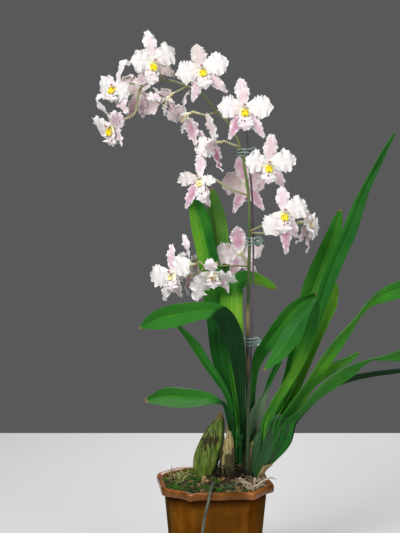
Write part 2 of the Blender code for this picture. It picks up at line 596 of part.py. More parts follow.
LEAVES_RIGHT = {
    "leaf_right_dark": ((43, 18, 108, 8, 0), (47, 20, 150, 10, 0), (48, 19, 190, 10, 20),
                        (48, 18, 227, 10, 35), (51, 18, 264, 13, 30), (59, 18, 287, 17, 22),
                        (69, 18, 301, 19, 16), (84, 16, 321, 22, 12), (99, 14, 341, 20, 12),
                        (114, 12, 354.5, 15, 14), (124, 10, 361, 8, 20)),
    "leaf_right_grey": ((46, 13.5, 110, 7, 0), (53, 15.5, 150, 14, 0), (54.5, 15, 190, 21, 5),
                        (55, 13.5, 208, 21, 5), (59, 11, 224, 13, 10), (65, 10, 238, 7, 15),
                        (71, 8, 255, 7, 20), (79, 6, 272, 8, 20), (90, 3, 300, 6, 20), (95, 2, 315, 3, 20)),
    "leaf_right_hanging": ((67, 1, 200.7, 7, 80), (76, -7, 228, 9, 45), (90, -11.5, 252, 13, 25),
                           (103, -13, 276, 15, 20), (115, -15, 306, 17, 20),
                           (122, -18, 334, 15, 30), (125, -24, 354, 9, 20), (121, -31, 358, 7, -30),
                           (111.5, -37, 345, 11, -52),
                           (93, -41, 317, 24, -58), (79, -42, 296, 19, -56), (63.5, -42.5, 278, 6, -52)),
    "leaf_right_tallest": ((71, 2.5, 200.7, 7, 80), (84, 3, 232, 10, 50), (100, 4, 262, 14, 30),
                           (113, 5, 292, 16, 25), (122, 5, 318, 16, 20), (131, 4, 345, 17, 20),
                           (142, 3, 377, 18, 15), (154, 2, 410, 20, 15), (168, 1, 441, 20, 15),
                           (177, 1, 466, 18, 20), (189, 3, 496, 13, 28), (206, 8, 529, 10, 35),
                           (218, 12, 551, 6.5, 35), (227, 15, 566, 3, 35)),
    "leaf_right_second": ((75.5, 7, 200.7, 7, 80), (87, 17, 232, 9, 40), (99, 22, 270, 15, 10),
                          (111, 25, 315, 21, 0), (121, 26, 352, 25, 0), (133, 26, 384, 29, 0),
                          (145, 25, 416, 25, 0), (154, 23.5, 445, 17, 0), (159, 22, 464, 9, 0)),
    "leaf_right_inner": ((79, 5, 200.7, 7, 80), (95, 15, 228, 10, 40), (112, 27, 262, 12, 15),
                         (122, 32, 292, 12, 10), (128, 34, 308, 5, 10)),
    "leaf_right_light": ((83, 4, 200.7, 7, 80), (99, 8, 232, 9, 50), (114, 12, 266, 12, 30),
                         (127, 14.5, 300, 14, 22), (139, 16.5, 327, 15, 20), (149, 17, 348, 14, 18),
                         (154, 17, 366, 9, 15), (155, 17, 374, 5, 15)),
    "leaf_right_upper": ((87, 2, 200.7, 8, 80), (103, -5, 230, 12, 55), (122, -9, 256, 15, 35),
                         (138, -13, 281, 17, 25), (157, -16, 309, 16, 30), (169, -18.5, 326, 14, 42),
                         (180, -20.5, 341, 12, 50), (192, -23, 354, 12, 35), (208, -25, 364.5, 18, 12),
                         (228, -26, 372.5, 22, 5), (250, -25.5, 376, 21, 5), (268, -24, 375, 15, 5),
                         (282, -22, 371, 5, 5)),
    "leaf_right_short": ((91, 5, 200.7, 7, 80), (108, 6, 224, 10, 60), (122, 5.5, 247, 13, 35),
                         (138, 4, 263.5, 15, 25), (154, 1, 274, 14, 25), (169, -2, 281.5, 10, 28),
                         (179, -4, 289, 5, 30)),
    "leaf_right_lower": ((94.5, 1, 200.7, 8, 80), (108, -8, 217, 13, 55), (124, -14, 235, 18, 40),
                         (145, -21, 255, 22, 28), (166, -26, 271, 21, 28), (181, -29, 281, 14, 40),
                         (193, -30, 286, 8, 48), (208, -31, 288, 11, 35), (229, -31, 291, 17, 18),
                         (252, -30, 291, 15, 15), (270, -28, 288, 9, 18), (280, -27, 285, 4, 20)),
    "leaf_right_behind": ((97.5, 6.2, 200.7, 5.4, 80), (115, 15.5, 218, 9, 60), (142, 21, 240, 10, 50),
                          (170, 25, 252, 10, 50), (202, 27, 259, 9, 50), (236, 28, 263, 8, 50),
                          (262, 28, 266, 3, 50)),
}


def ring_of(station, sides, ribs, grow):
    """One ring of a bulb, with a rib at every second point."""
    x, y, z, half_width, half_depth = station
    ring = []
    for k in range(sides):
        angle = 2 * math.pi * k / sides
        rib = 1.0 + (ribs if k % 2 else -ribs)
        ring.append((x + (half_width * rib + grow) * math.cos(angle),
                     y + (half_depth * rib + grow) * math.sin(angle), z))
    return ring


def bulb(name, stations, skin, sides, ribs, grow=0.0):
    """A swollen bulb or shoot through its stations, or its cutter where it is grown by a gap."""
    rings = [ring_of(station, sides, ribs, grow) for station in stations]
    if grow:
        rings[0] = [(x, y, z - FIT_GAP) for x, y, z in rings[0]]
    return closed_loft(name, rings, skin)


def pedicel_path(name):
    """A stalk's points from inside the stem to the ovary stub of its bloom."""
    centre, face, tips = BLOOMS[name]
    face = Vector(face).normalized()
    end = Vector(centre) - face * (STUB_LENGTH + FIT_GAP)
    points = [Vector(p) for p in PEDICELS[name]]
    return points + [end - face * STUB_RUN, end]


def flower_spike(green):
    """The stem, its side branch and every flower stalk as one grown piece."""
    pieces = [tube("stem", [p[:3] for p in STEM], [p[3] for p in STEM], green, 2)]
    pieces.append(tube("branch", BRANCH, [BRANCH_RADIUS] * len(BRANCH), green))
    for name in BLOOMS:
        path = pedicel_path(name)
        pieces.append(tube("stalk_" + name, path, [PEDICEL_RADIUS] * len(path), green))
    return joined("flower_spike", pieces, green)


def at_height(points, z):
    """The point of a rising path at a height."""
    for low, high in zip(points, points[1:]):
        if low[2] <= z <= high[2]:
            return Vector(low[:3]).lerp(Vector(high[:3]), (z - low[2]) / (high[2] - low[2]))
    raise ValueError("the path does not reach this height")


def coil_ring(name, hub, radius, plastic):
    """One turn of a clip's flat coil, as a ring of square section that faces the viewer."""
    bm = bmesh.new()
    sections = []
    for i in range(COIL_STEPS):
        turn = 2 * math.pi * i / COIL_STEPS
        out = Vector((math.cos(turn), 0.0, math.sin(turn)))
        section = []
        for k in range(4):
            corner = math.pi * (0.25 + k / 2)
            offset = out * COIL_HALF_WIDTH * math.cos(corner) - VIEW * COIL_HALF_DEPTH * math.sin(corner)
            section.append(bm.verts.new(hub + out * radius + offset))
        sections.append(section)
    for low, high in zip(sections, sections[1:] + sections[:1]):
        for k in range(4):
            j = (k + 1) % 4
            bm.faces.new((low[k], low[j], high[j], high[k]))
    return link_object(name, mesh_from_bmesh(name, bm), plastic)


def clip(name, z, plastic):
    """A spring clip: two coil rings beside the stake, a bar across them and prongs round the stem."""
    stem = at_height([p[:3] for p in STEM], z)
    stake = at_height(smooth_path(STAKE, 2), z)
    hub = Vector((stake.x + CLIP_REACH, stake.y - CLIP_FORWARD, z))
    front = min(stem.y, stake.y) - CLIP_FRONT
    middle = (front + max(stem.y, stake.y) + CLIP_BACK) / 2
    left = min(stem.x, stake.x) - CLIP_LEFT
    pieces = [coil_ring(name + "_ring", hub, radius, plastic) for radius in CLIP_COIL_RADII]
    for rise in PRONG_RISES:
        level = z + rise
        path = [(hub.x - 1.5, hub.y, z + rise * 0.6), (hub.x - 4.0, front + 1.0, level),
                (stem.x, front, level), (left, middle - 1.0, level), (left + 1.2, middle + 1.5, level)]
        pieces.append(tube(name + "_prong", path, [CLIP_WIRE_RADIUS] * len(path), plastic, 0))
    half = Vector((CLIP_BAR, 0, 0))
    pieces.append(tube(name + "_bar", [hub - half, hub + half], [CLIP_BAR_RADIUS] * 2, plastic, 0))
    return joined(name, pieces, plastic)


def rod_cutter(name, path, radius, material, sides_step=1):
    """A rod a little wider than the one that stands in the medium, and a little deeper at its foot."""
    deeper = [Vector(path[0]) - Vector((0, 0, FIT_GAP)), *path[1:]]
    return tube(name, deeper, [radius + FIT_GAP] * len(deeper), material, sides_step)


def main():
    clear_scene()
    glaze = make_material("glazed_pot", (0.42, 0.16, 0.04), 0.25)
    bark = make_material("bark_and_moss", (0.10, 0.09, 0.05), 0.95)
    bulb_green = make_material("bulb_green", (0.25, 0.36, 0.08), 0.55)
    husk = make_material("dry_husk", (0.55, 0.44, 0.25), 0.8)
    leaf_green = make_material("leaf_green", (0.05, 0.19, 0.03), 0.4)
    leaf_light = make_material("leaf_light_green", (0.20, 0.40, 0.04), 0.4)
    stem_green = make_material("stem_green", (0.20, 0.30, 0.08), 0.5)
    petal_white = make_material("petal_white", (0.85, 0.78, 0.82), 0.5)
    yellow = make_material("crest_yellow", (0.85, 0.62, 0.03), 0.5)
    steel = make_material("stake_steel", (0.06, 0.05, 0.05), 0.5)
    plastic = make_material("clip_plastic", (0.45, 0.52, 0.45), 0.35)
    root_skin = make_material("root_skin", (0.35, 0.38, 0.28), 0.8)

    pot(glaze)
    skins = {"bulb_left": bulb_green, "bulb_dry": husk, "shoot_left": leaf_green, "bulb_right": leaf_green}
    for name, (stations, sides, ribs) in BULBS.items():
        bulb(name, stations, skins[name], sides, ribs)
    light = ("leaf_right_hanging", "leaf_right_light", "leaf_young")
    for name, stations in {**LEAVES_LEFT, **LEAVES_RIGHT}.items():
        leaf(name, stations, leaf_light if name in light else leaf_green)
    flower_spike(stem_green)
    for name, (centre, face, tips) in BLOOMS.items():
        bloom(name, centre, face, tips, petal_white)
        if name in CRESTED:
            crest(name.replace("bloom", "crest"), centre, face, tips, yellow)
    stake_path = smooth_path(STAKE, 2)
    tube("stake", stake_path, [STAKE_RADIUS] * len(stake_path), steel)
    for name, z in CLIP_HEIGHTS.items():
        clip(name, z, plastic)
    root_front = smooth_path(ROOT_OVER_RIM, 2)
    tube("root_over_rim", root_front, evenly(*ROOT_OVER_RIM_RADII, len(root_front)), root_skin)
    root_side = smooth_path(ROOT_RIGHT, 3)
    tube("root_right", root_side, evenly(*ROOT_RIGHT_RADII, len(root_side)), root_skin)

    cutters = [bulb("cut_" + name, stations[:SUNK_STATIONS], bark, sides, ribs, FIT_GAP)
               for name, (stations, sides, ribs) in BULBS.items()]
    cutters += [
        leaf("cut_leaf_dark", LEAVES_RIGHT["leaf_right_dark"], bark, FIT_GAP),
        leaf("cut_leaf_grey", LEAVES_RIGHT["leaf_right_grey"], bark, FIT_GAP),
        rod_cutter("cut_stem", [p[:3] for p in STEM[:3]], STEM[0][3], bark, 2),
        rod_cutter("cut_stake", stake_path[:5], STAKE_RADIUS, bark),
        rod_cutter("cut_root_over_rim", root_front[:7], ROOT_HOLE_RADIUS, bark),
        rod_cutter("cut_root_right", root_side[:7], ROOT_HOLE_RADIUS, bark),
    ]
    medium(bark, cutters)


main()
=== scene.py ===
import math
import random

import bpy
from mathutils import Matrix, Vector, noise


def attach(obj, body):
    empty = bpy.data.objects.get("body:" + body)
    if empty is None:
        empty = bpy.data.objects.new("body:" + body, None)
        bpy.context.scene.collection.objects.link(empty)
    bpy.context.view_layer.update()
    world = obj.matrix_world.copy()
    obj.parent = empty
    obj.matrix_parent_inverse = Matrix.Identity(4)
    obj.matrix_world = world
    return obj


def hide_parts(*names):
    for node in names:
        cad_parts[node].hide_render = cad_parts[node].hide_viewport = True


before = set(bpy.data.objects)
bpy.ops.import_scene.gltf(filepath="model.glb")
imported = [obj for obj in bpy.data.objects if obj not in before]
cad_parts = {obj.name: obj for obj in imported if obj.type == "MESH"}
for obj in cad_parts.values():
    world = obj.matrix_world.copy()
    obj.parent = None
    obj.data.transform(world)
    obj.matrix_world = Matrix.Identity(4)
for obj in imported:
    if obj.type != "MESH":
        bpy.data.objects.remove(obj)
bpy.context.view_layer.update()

# Places and sizes are millimetres, and the meshes are made in metres
MM = 0.001
# From the plant towards the viewer
VIEW = Vector((0.0, -1.0, 0.0))

# Pot, an octagon with long and short sides in turn; angles are degrees
POT_HEIGHT = 129.5
POT_LONG_ARC = 58.0
POT_TURN = 7.0
POT_BASE_RADIUS = 58.5
POT_TOP_RADIUS = 70.5
LIP_RADIUS = 80.0
LIP_HEIGHT = 10.5
POT_NECK = POT_HEIGHT - LIP_HEIGHT
POT_WALL = 4.0
POT_FLOOR = 8.0
# How high the rounded foot is, and how far under the neck the wall ends
POT_FOOT = 1.6
POT_WALL_END = 3.0
POT_SIDES = 8
POT_POINTS = 40
POT_RINGS = 11

# Growing medium
MEDIUM_EDGE_HEIGHT = 123.0
MEDIUM_MOUND = 11.0
MEDIUM_RADIUS = 69.9
MEDIUM_POINTS = 24
MEDIUM_RINGS = 44
BARK_RELIEF = 2.2
BARK_GRAIN = 0.11
BARK_SEED = 3.7
# Height, grain and seed of the finer relief of chips and roots
FINE_RELIEF = ((1.3, 0.34, 8.1), (0.6, 0.9, 1.4))

# Leaves and bulbs
LEAF_THICKNESS = 0.9
LEAF_FOLD = 0.16
LEAF_WAVE = 0.035
LEAF_WAVES = 17
LEAF_COLUMNS = 10
LEAF_STEPS = 12
# How far past the last station, in widths of the leaf, the rows of its pointed tip are
LEAF_TIP = (0.35, 0.6, 0.72)
BULB_STEPS = 8
BULB_SIDES = 72
HUSK_THICKNESS = 0.35
HUSK_STEPS = 6
HUSK_ROWS = 18
HUSK_COLUMNS = 14

# Blooms
TEPAL_THICKNESS = 0.5
# Steps along and across
TEPAL_GRID = (42, 16)
LIP_GRID = (50, 22)
BEND_STEPS = 12
KNOB_RADIUS = 3.2
STUB_LENGTH = 5.0
COLUMN_LENGTH = 9.0
CREST_SIZE = (5.0, 4.4, 1.6)
CREST_SHARE = 0.25
CREST_ROWS = 12

# Flower spike and support
PEDICEL_RADIUS = 1.05
BRANCH_RADIUS = 1.1
STAKE_RADIUS = 1.25
CLIP_WIRE_RADIUS = 0.85
CLIP_BAR_HALF = 5.0
CLIP_BAR_RADIUS = 1.0
CLIP_COIL_RADIUS = 5.9
CLIP_COIL_INWARD = 3.3
CLIP_COIL_DEPTH = 1.6
CLIP_COIL_STEPS = 72
CLIP_TURN_STEPS = 24
CLIP_PRONGS = (-4.0, 0.0, 4.0)
CLIP_REACH = 5.8
CLIP_FORWARD = 3.7
# How far the prongs go round the stem and the stake: in front, behind and to the left
CLIP_FRONT = 4.2
CLIP_BACK = 3.6
CLIP_LEFT = 5.6

# Camera at the photograph's angle, and the studio round the plant, in metres and watts
CAMERA_PLACE = (-0.018, -1.40, 0.48)
CAMERA_TARGET = (-0.018, 0.0, 0.399)
CAMERA_LENS = 75.5
FLOOR_SIZE = 1.8
WORLD_GREY = (0.10, 0.10, 0.103)
# Place, target, size and power of each lamp
LAMPS = {
    "key": ((-0.9, -1.5, 1.6), (0.0, 0.0, 0.40), 0.9, 43.0),
    "fill": ((1.2, -1.4, 0.9), (0.0, 0.0, 0.40), 1.2, 14.0),
    "rim": ((0.3, 1.3, 1.5), (0.0, 0.0, 0.45), 0.9, 22.0),
}

# For every bloom: its centre, the direction that it faces, and the tip of each tepal from the centre,
# in the order of PARTS
PARTS = ("dorsal", "petal_l", "petal_r", "sepal_l", "sepal_r", "lip")
BLOOMS = {
    "bloom_01": ((-75, -18, 652), (0.3, -0.93, -0.15), (-7, -8, 36), (-28, -9, -1), (27, 6, 15),
                 (-21, 2, -30), (27, 15, -17), (-3, -10, -28)),
    "bloom_02": ((-16, -30, 641), (0.05, -0.97, 0.1), (-7, 3, 31), (-32, -2, -7), (33, 3, 11),
                 (-11, 2, -40), (32, 4, -28), (5, -9, -25)),
    "bloom_03": ((-123, -6, 623), (-0.55, -0.8, -0.1), (16, -15, 24), (-22, 15, -2), (17, -10, -14),
                 (-13, 17, 14), (13, -6, -34), (-7, -5, -20)),
    "bloom_04": ((-127, -18, 575), (-0.6, -0.62, -0.5), (-10, -19, 36), (-22, 25, -2), (14, -26, 9),
                 (9, 16, -22), (11, -16, -26), (-2, 6, -27)),
    "bloom_05": ((-94, 16, 618), (-0.15, 0.97, -0.15), (14, 12, 24), (-24, -1, 16), (19, 2, -28),
                 (-14, -2, -33), (4, 2, -32), (-6, 12, -19)),
    "bloom_06": ((-59, -18, 606), (-0.75, -0.1, -0.65), (-17, -6, 10), (-22, -12, -3), (4, 14, 12),
                 (6, 8, -17), (19, -4, -12), (-5, -5, -18)),
    "bloom_07": ((-35, 6, 589), (-0.9, -0.2, -0.35), (1, 4, 31), (-23, 2, -4), (-5, 32, -2),
                 (9, -6, -39), (21, 12, -27), (-8, -4, -22)),
    "bloom_08": ((0, -12, 554), (-0.85, -0.48, 0.05), (-12, 4, 34), (-25, 14, -9), (-13, -26, -6),
                 (9, 10, -22), (7, -6, -38), (-16, -12, -14)),
    "bloom_09": ((36, -30, 594), (0.0, -0.98, 0.1), (-5, 4, 37), (-33, 0, 2), (36, 0, 2),
                 (-19, 2, -38), (25, 2, -36), (2, -9, -28)),
    "bloom_10": ((65, -26, 526), (0.15, -0.97, 0.0), (6, 1, 37), (-27, -10, 5), (36, 6, 7),
                 (-12, 16, -32), (23, 18, -29), (1, -9, -24)),
    "bloom_11": ((40, 24, 503), (0.0, 0.98, 0.1), (-9, 3, 33), (26, 4, 8), (-32, 2, 1),
                 (23, 6, -33), (-15, 7, -36), (0, 10, -23)),
    "bloom_12": ((-18, -11, 509), (-0.4, -0.9, 0.05), (1, 1, 34), (-29, 14, -1), (18, -14, -4),
                 (-19, 12, -38), (11, 2, -36), (4, -9, -31)),
    "bloom_13": ((85, -28, 468), (0.12, -0.97, 0.0), (-3, 0, 31), (-23, -4, -28), (29, 4, 9),
                 (4, 10, -54), (18, 14, -34), (-1, -9, -27)),
    "bloom_14": ((114, 6, 455), (0.9, -0.4, 0.1), (9, 14, 12), (11, -20, -14), (20, 13, -6),
                 (-10, -5, -29), (7, 9, -39), (16, -4, -15)),
    "bloom_15": ((33, 22, 415), (-0.15, 0.95, 0.15), (-5, -4, 34), (30, 6, 10), (-34, -3, -2),
                 (22, 14, -33), (-12, 8, -34), (4, 12, -20)),
    "bloom_16": ((-3, -20, 394), (-0.08, -0.45, -0.89), (-3, -14, 16), (-18, 0, -36), (30, 0, -14),
                 (-22, 14, -20), (19, 14, -28), (1, 2, -20)),
    "bloom_17": ((-52, -22, 392), (-0.45, -0.88, 0.0), (-2, 4, 36), (-29, 17, -7), (20, -14, 17),
                 (-12, 12, -36), (10, 4, -31), (-2, -9, -22)),
    "bloom_18": ((-31, 10, 401), (-0.82, 0.4, -0.06), (-8, 4, 38), (14, 28, -6), (-15, -17, 2),
                 (4, 21, -32), (-6, -4, -37), (-18, 6, -18)),
}

# Where each bloom's stalk leaves the stem, then the points that it passes, for every bloom
PEDICELS = {
    "bloom_01": ((-63, 0, 631), (-68, -4, 640)),
    "bloom_02": ((-23, 0, 618), (-20, -10, 628)),
    "bloom_03": ((-88, 0, 624), (-104, 3, 627)),
    "bloom_04": ((-93, 0, 621), (-96, -1, 604), (-99, -2, 590), (-108, -4, 584)),
    "bloom_05": ((-91, 0, 622), (-92, 5, 620)),
    "bloom_06": ((-35, 0, 623), (-42, -2, 619), (-49, -6, 615)),
    "bloom_07": ((3, 0, 592), (-10, 1, 588), (-20, 3, 590)),
    "bloom_08": ((31, 0, 548), (20, -3, 552), (12, -6, 555)),
    "bloom_09": ((18, 0, 577), (26, -6, 586), (33, -16, 591)),
    "bloom_10": ((35, 0, 535), (50, -4, 531), (61, -12, 527)),
    "bloom_11": ((43, 0, 480), (42, 8, 492)),
    "bloom_12": ((43, 0, 488), (20, -4, 496), (0, -6, 508), (-10, -8, 511)),
    "bloom_13": ((44, 0, 443), (60, -6, 451), (76, -14, 462)),
    "bloom_14": ((44, 0, 441), (66, 3, 441), (90, 7, 446), (104, 9, 452)),
    "bloom_15": ((44, 0, 396), (38, 6, 408)),
    "bloom_16": ((6, -4, 400), (3, -8, 405), (0, -12, 402)),
    "bloom_17": ((-11, -6, 398), (-28, -13, 388), (-42, -15, 390)),
    "bloom_18": ((-11, -6, 398), (-18, -3, 405)),
}

# Stem of the flower spike, with its radius, from the bark to its drooping tip
STEM = ((41, -8, 108, 2.4), (41, -8, 141, 2.4), (42, -8, 180, 2.4), (42, -5, 231, 2.3), (42, -1, 307, 2.2),
        (43, 0, 383, 2.1), (44, 0, 433, 2.0), (43, 0, 483, 1.9), (38, 0, 520, 1.8), (33, 0, 545, 1.7),
        (26, 0, 564, 1.6), (18, 0, 577, 1.5), (3, 0, 592, 1.4), (-16, 0, 614, 1.4), (-34, 0, 623, 1.3),
        (-50, 0, 629, 1.3), (-63, 0, 631, 1.2), (-79, 0, 628, 1.2), (-88, 0, 624, 1.1), (-93, 0, 621, 1.1))
# Side branch that carries the three lowest blooms on the left
BRANCH = ((44, 0, 399), (26, -2, 400), (6, -4, 400), (-11, -6, 398))

STAKE = ((41, -3, 60), (41, -3, 123), (43, -3, 181), (44, -1, 230), (47, 3, 306), (49, 4, 382),
         (49, 5, 430), (48, 5, 477), (43, 5, 541), (40, 5, 569))
CLIP_HEIGHTS = {"clip_top": 541, "clip_middle": 430, "clip_low": 304}

ROOT_OVER_RIM = ((0, -25, 127), (1, -40, 135), (-3, -59, 136), (-5, -69, 134), (-6.5, -75.5, 128),
                 (-8.5, -76.5, 118), (-12, -75, 104), (-14.5, -73, 86), (-16.5, -72, 66), (-18, -72, 46))
ROOT_RIGHT = ((45, -28, 122), (54, -35, 131), (62, -41, 138), (69, -46, 142), (75, -49, 141))

# Centre, half width and half depth of each bulb at rising heights
BULB_LEFT = ((-13, 2, 112, 9, 8), (-13, 2, 125, 10, 9), (-13, 2, 133, 12.5, 11),
             (-12, 2, 144, 15.3, 12.5), (-9.5, 2, 157, 16.6, 13), (-5, 2, 171, 16.3, 12.5),
             (-0.5, 2, 187, 13, 10), (4.5, 2, 200, 8.5, 7), (7, 2, 208, 4.5, 4), (6.5, 2, 216, 0.8, 0.8))
BULB_DRY = ((18, -7, 112, 6, 5), (18, -7, 127, 7.5, 6), (17, -7, 151, 8, 6), (18, -7, 166, 7, 5.5),
            (19, -7, 179, 5, 4), (18, -7, 191, 3, 3), (17, -7, 200, 0.8, 0.8))
SHOOT_LEFT = ((33, 2, 112, 5, 4.5), (33, 2, 146, 5.4, 5), (32, 2, 165, 6.2, 6), (32, 2, 178, 7.6, 7),
              (32, 2, 183, 8.6, 7.6))
BULB_RIGHT = ((47, 4, 112, 5, 5), (49.5, 4, 125, 6.5, 6), (54.5, 4, 140, 12, 7.5), (60, 4, 155, 18, 8),
              (65, 4, 172, 22.5, 7), (71, 4, 183, 22, 5.5), (78, 4, 193, 19, 4), (82, 4, 200, 16, 3.2))

# Midrib points, width and roll of each leaf, from the base to the tip
LEAVES_LEFT = {
    "leaf_low_left": (
        (24.5, -2, 183.7, 7, 80), (20, -10, 203, 8, 60), (16.5, -14, 217, 8, 40),
        (11.5, -19, 228.5, 5, 45), (4, -23, 232.5, 7, 45), (-11, -28, 237, 16, 36),
        (-34, -33, 238.5, 24, 26), (-60, -36, 240.5, 24, 22), (-77, -38, 238, 12, 18)),
    "leaf_thin_left": (
        (27, -1.5, 183.7, 7, 80), (24.5, -4, 205, 8, 75), (15.5, -7, 238, 9, 55),
        (2.5, -10, 260, 12, 45), (-11, -12.5, 280, 13, 40), (-22.5, -15.5, 299, 13, 40),
        (-34, -19, 313.5, 9, 45), (-46, -23, 327, 5, 50)),
    "leaf_tall_left": (
        (30, 4.8, 183.7, 7, 80), (28, 9, 208, 9, 30), (20, 13, 240, 18, 0), (9, 16, 285, 25, -10),
        (4, 16, 330, 27, -12), (-4, 15, 390, 27, -10), (-10, 14, 420, 26, -5), (-18, 10, 455, 25, 5),
        (-25, 5, 482, 16, 10)),
    "leaf_young": (
        (32.6, -1, 183.7, 7, 80), (31, -1, 210, 7, 60), (26, -2, 240, 8, 30), (20, -4, 276, 4, 25)),
    "leaf_tall_back": (
        (35.3, 4, 183.7, 7, 90), (34, 12, 206, 10, 110), (31, 22, 240, 16, 150),
        (22, 30, 303, 26, 165), (14, 34, 354, 30, 165), (6.5, 36, 405, 30, 165), (3, 32, 454, 26, 165),
        (-2, 26, 488, 13, 165)),
    "leaf_arch_left": (
        (37.6, -1, 183.7, 7, 80), (35.5, -7, 205, 8, 55), (33.5, -11, 234, 11, 30),
        (31, -15, 268, 16, 15), (27, -20, 298, 21, 5), (20, -27, 322, 25, 0), (10, -36, 341, 22, 10),
        (-6, -43, 348, 20, 28), (-31, -49, 346, 25, 30), (-57, -53, 341, 28, 26),
        (-76, -55, 335.5, 20, 22), (-87, -56, 330, 7, 20)),
    "leaf_fold_right": (
        (40.2, 3, 183.7, 6, 90), (39, 5, 208, 7, 110), (34, 4, 240, 10, 150), (28, 4, 290, 20, 170),
        (22.5, 5, 334, 27, 175), (22.5, 7, 362, 28, 185), (30, 12, 378, 24, 205),
        (46, 17, 383, 19, 225), (61, 22, 379, 14, 240), (74, 25, 372, 9, 240)),
}
LEAVES_RIGHT = {
    "leaf_right_dark": (
        (43, 18, 108, 8, 0), (47, 20, 150, 10, 0), (48, 19, 190, 10, 20), (48, 18, 227, 10, 35),
        (51, 18, 264, 13, 30), (59, 18, 287, 17, 22), (69, 18, 301, 19, 16), (84, 16, 321, 22, 12),
        (99, 14, 341, 20, 12), (114, 12, 354.5, 15, 14), (124, 10, 361, 8, 20)),
    "leaf_right_grey": (
        (46, 13.5, 110, 7, 0), (53, 15.5, 150, 14, 0), (54.5, 15, 190, 21, 5), (55, 13.5, 208, 21, 5),
        (59, 11, 224, 13, 10), (65, 10, 238, 7, 15), (71, 8, 255, 7, 20), (79, 6, 272, 8, 20),
        (90, 3, 300, 6, 20), (95, 2, 315, 3, 20)),
    "leaf_right_hanging": (
        (67, 1, 200.7, 7, 80), (76, -7, 228, 9, 45), (90, -11.5, 252, 13, 25), (103, -13, 276, 15, 20),
        (115, -15, 306, 17, 20), (122, -18, 334, 15, 30), (125, -24, 354, 9, 20),
        (121, -31, 358, 7, -30), (111.5, -37, 345, 11, -52), (93, -41, 317, 24, -58),
        (79, -42, 296, 19, -56), (63.5, -42.5, 278, 6, -52)),
    "leaf_right_tallest": (
        (71, 2.5, 200.7, 7, 80), (84, 3, 232, 10, 50), (100, 4, 262, 14, 30), (113, 5, 292, 16, 25),
        (122, 5, 318, 16, 20), (131, 4, 345, 17, 20), (142, 3, 377, 18, 15), (154, 2, 410, 20, 15),
        (168, 1, 441, 20, 15), (177, 1, 466, 18, 20), (189, 3, 496, 13, 28), (206, 8, 529, 10, 35),
        (218, 12, 551, 6.5, 35), (227, 15, 566, 3, 35)),
    "leaf_right_second": (
        (75.5, 7, 200.7, 7, 80), (87, 17, 232, 9, 40), (99, 22, 270, 15, 10), (111, 25, 315, 21, 0),
        (121, 26, 352, 25, 0), (133, 26, 384, 29, 0), (145, 25, 416, 25, 0), (154, 23.5, 445, 17, 0),
        (159, 22, 464, 9, 0)),
    "leaf_right_inner": (
        (79, 5, 200.7, 7, 80), (95, 15, 228, 10, 40), (112, 27, 262, 12, 15), (122, 32, 292, 12, 10),
        (128, 34, 308, 5, 10)),
    "leaf_right_light": (
        (83, 4, 200.7, 7, 80), (99, 8, 232, 9, 50), (114, 12, 266, 12, 30), (127, 14.5, 300, 14, 22),
        (139, 16.5, 327, 15, 20), (149, 17, 348, 14, 18), (154, 17, 366, 9, 15),
        (155, 17, 374, 5, 15)),
    "leaf_right_upper": (
        (87, 2, 200.7, 8, 80), (103, -5, 230, 12, 55), (122, -9, 256, 15, 35), (138, -13, 281, 17, 25),
        (157, -16, 309, 16, 30), (169, -18.5, 326, 14, 42), (180, -20.5, 341, 12, 50),
        (192, -23, 354, 12, 35), (208, -25, 364.5, 18, 12), (228, -26, 372.5, 22, 5),
        (250, -25.5, 376, 21, 5), (268, -24, 375, 15, 5), (282, -22, 371, 5, 5)),
    "leaf_right_short": (
        (91, 5, 200.7, 7, 80), (108, 6, 224, 10, 60), (122, 5.5, 247, 13, 35), (138, 4, 263.5, 15, 25),
        (154, 1, 274, 14, 25), (169, -2, 281.5, 10, 28), (179, -4, 289, 5, 30)),
    "leaf_right_lower": (
        (94.5, 1, 200.7, 8, 80), (108, -8, 217, 13, 55), (124, -14, 235, 18, 40),
        (145, -21, 255, 22, 28), (166, -26, 271, 21, 28), (181, -29, 281, 14, 40),
        (193, -30, 286, 8, 48), (208, -31, 288, 11, 35), (229, -31, 291, 17, 18),
        (252, -30, 291, 15, 15), (270, -28, 288, 9, 18), (280, -27, 285, 4, 20)),
    "leaf_right_behind": (
        (97.5, 6.2, 200.7, 5.4, 80), (115, 15.5, 218, 9, 60), (142, 21, 240, 10, 50),
        (170, 25, 252, 10, 50), (202, 27, 259, 9, 50), (236, 28, 263, 8, 50), (262, 28, 266, 3, 50)),
}

# Shapes

class Piece:
    """The points and faces of one piece; a point is a place in millimetres with its named marks."""

    def __init__(self, name):
        self.name = name
        self.points = []
        self.faces = []
        self.looks = []

    def add(self, points, faces, looks=0):
        """Adds faces over new points, with one material number or a list of them."""
        start = len(self.points)
        self.points += points
        self.faces += [[start + k for k in face] for face in faces]
        self.looks += looks if isinstance(looks, list) else [looks] * len(faces)

    def finish(self, looks, slot, *nodes):
        """Makes the mesh, lets it ride on the one body and stand for the nodes."""
        mesh = bpy.data.meshes.new(self.name)
        mesh.from_pydata([place * MM for place, _ in self.points], [], self.faces)
        for look in looks:
            mesh.materials.append(LOOKS[look])
        mesh.polygons.foreach_set("material_index", self.looks)
        for mark in sorted({mark for _, marks in self.points for mark in marks}):
            layer = mesh.attributes.new(mark, "FLOAT", "POINT")
            layer.data.foreach_set("value", [marks.get(mark, 0.0) for _, marks in self.points])
        mesh.shade_smooth()
        mesh.set_sharp_from_angle(angle=math.radians(60))
        made = bpy.data.objects.new(self.name, mesh)
        bpy.context.collection.objects.link(made)
        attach(made, "root")
        if nodes:
            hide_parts(*nodes)


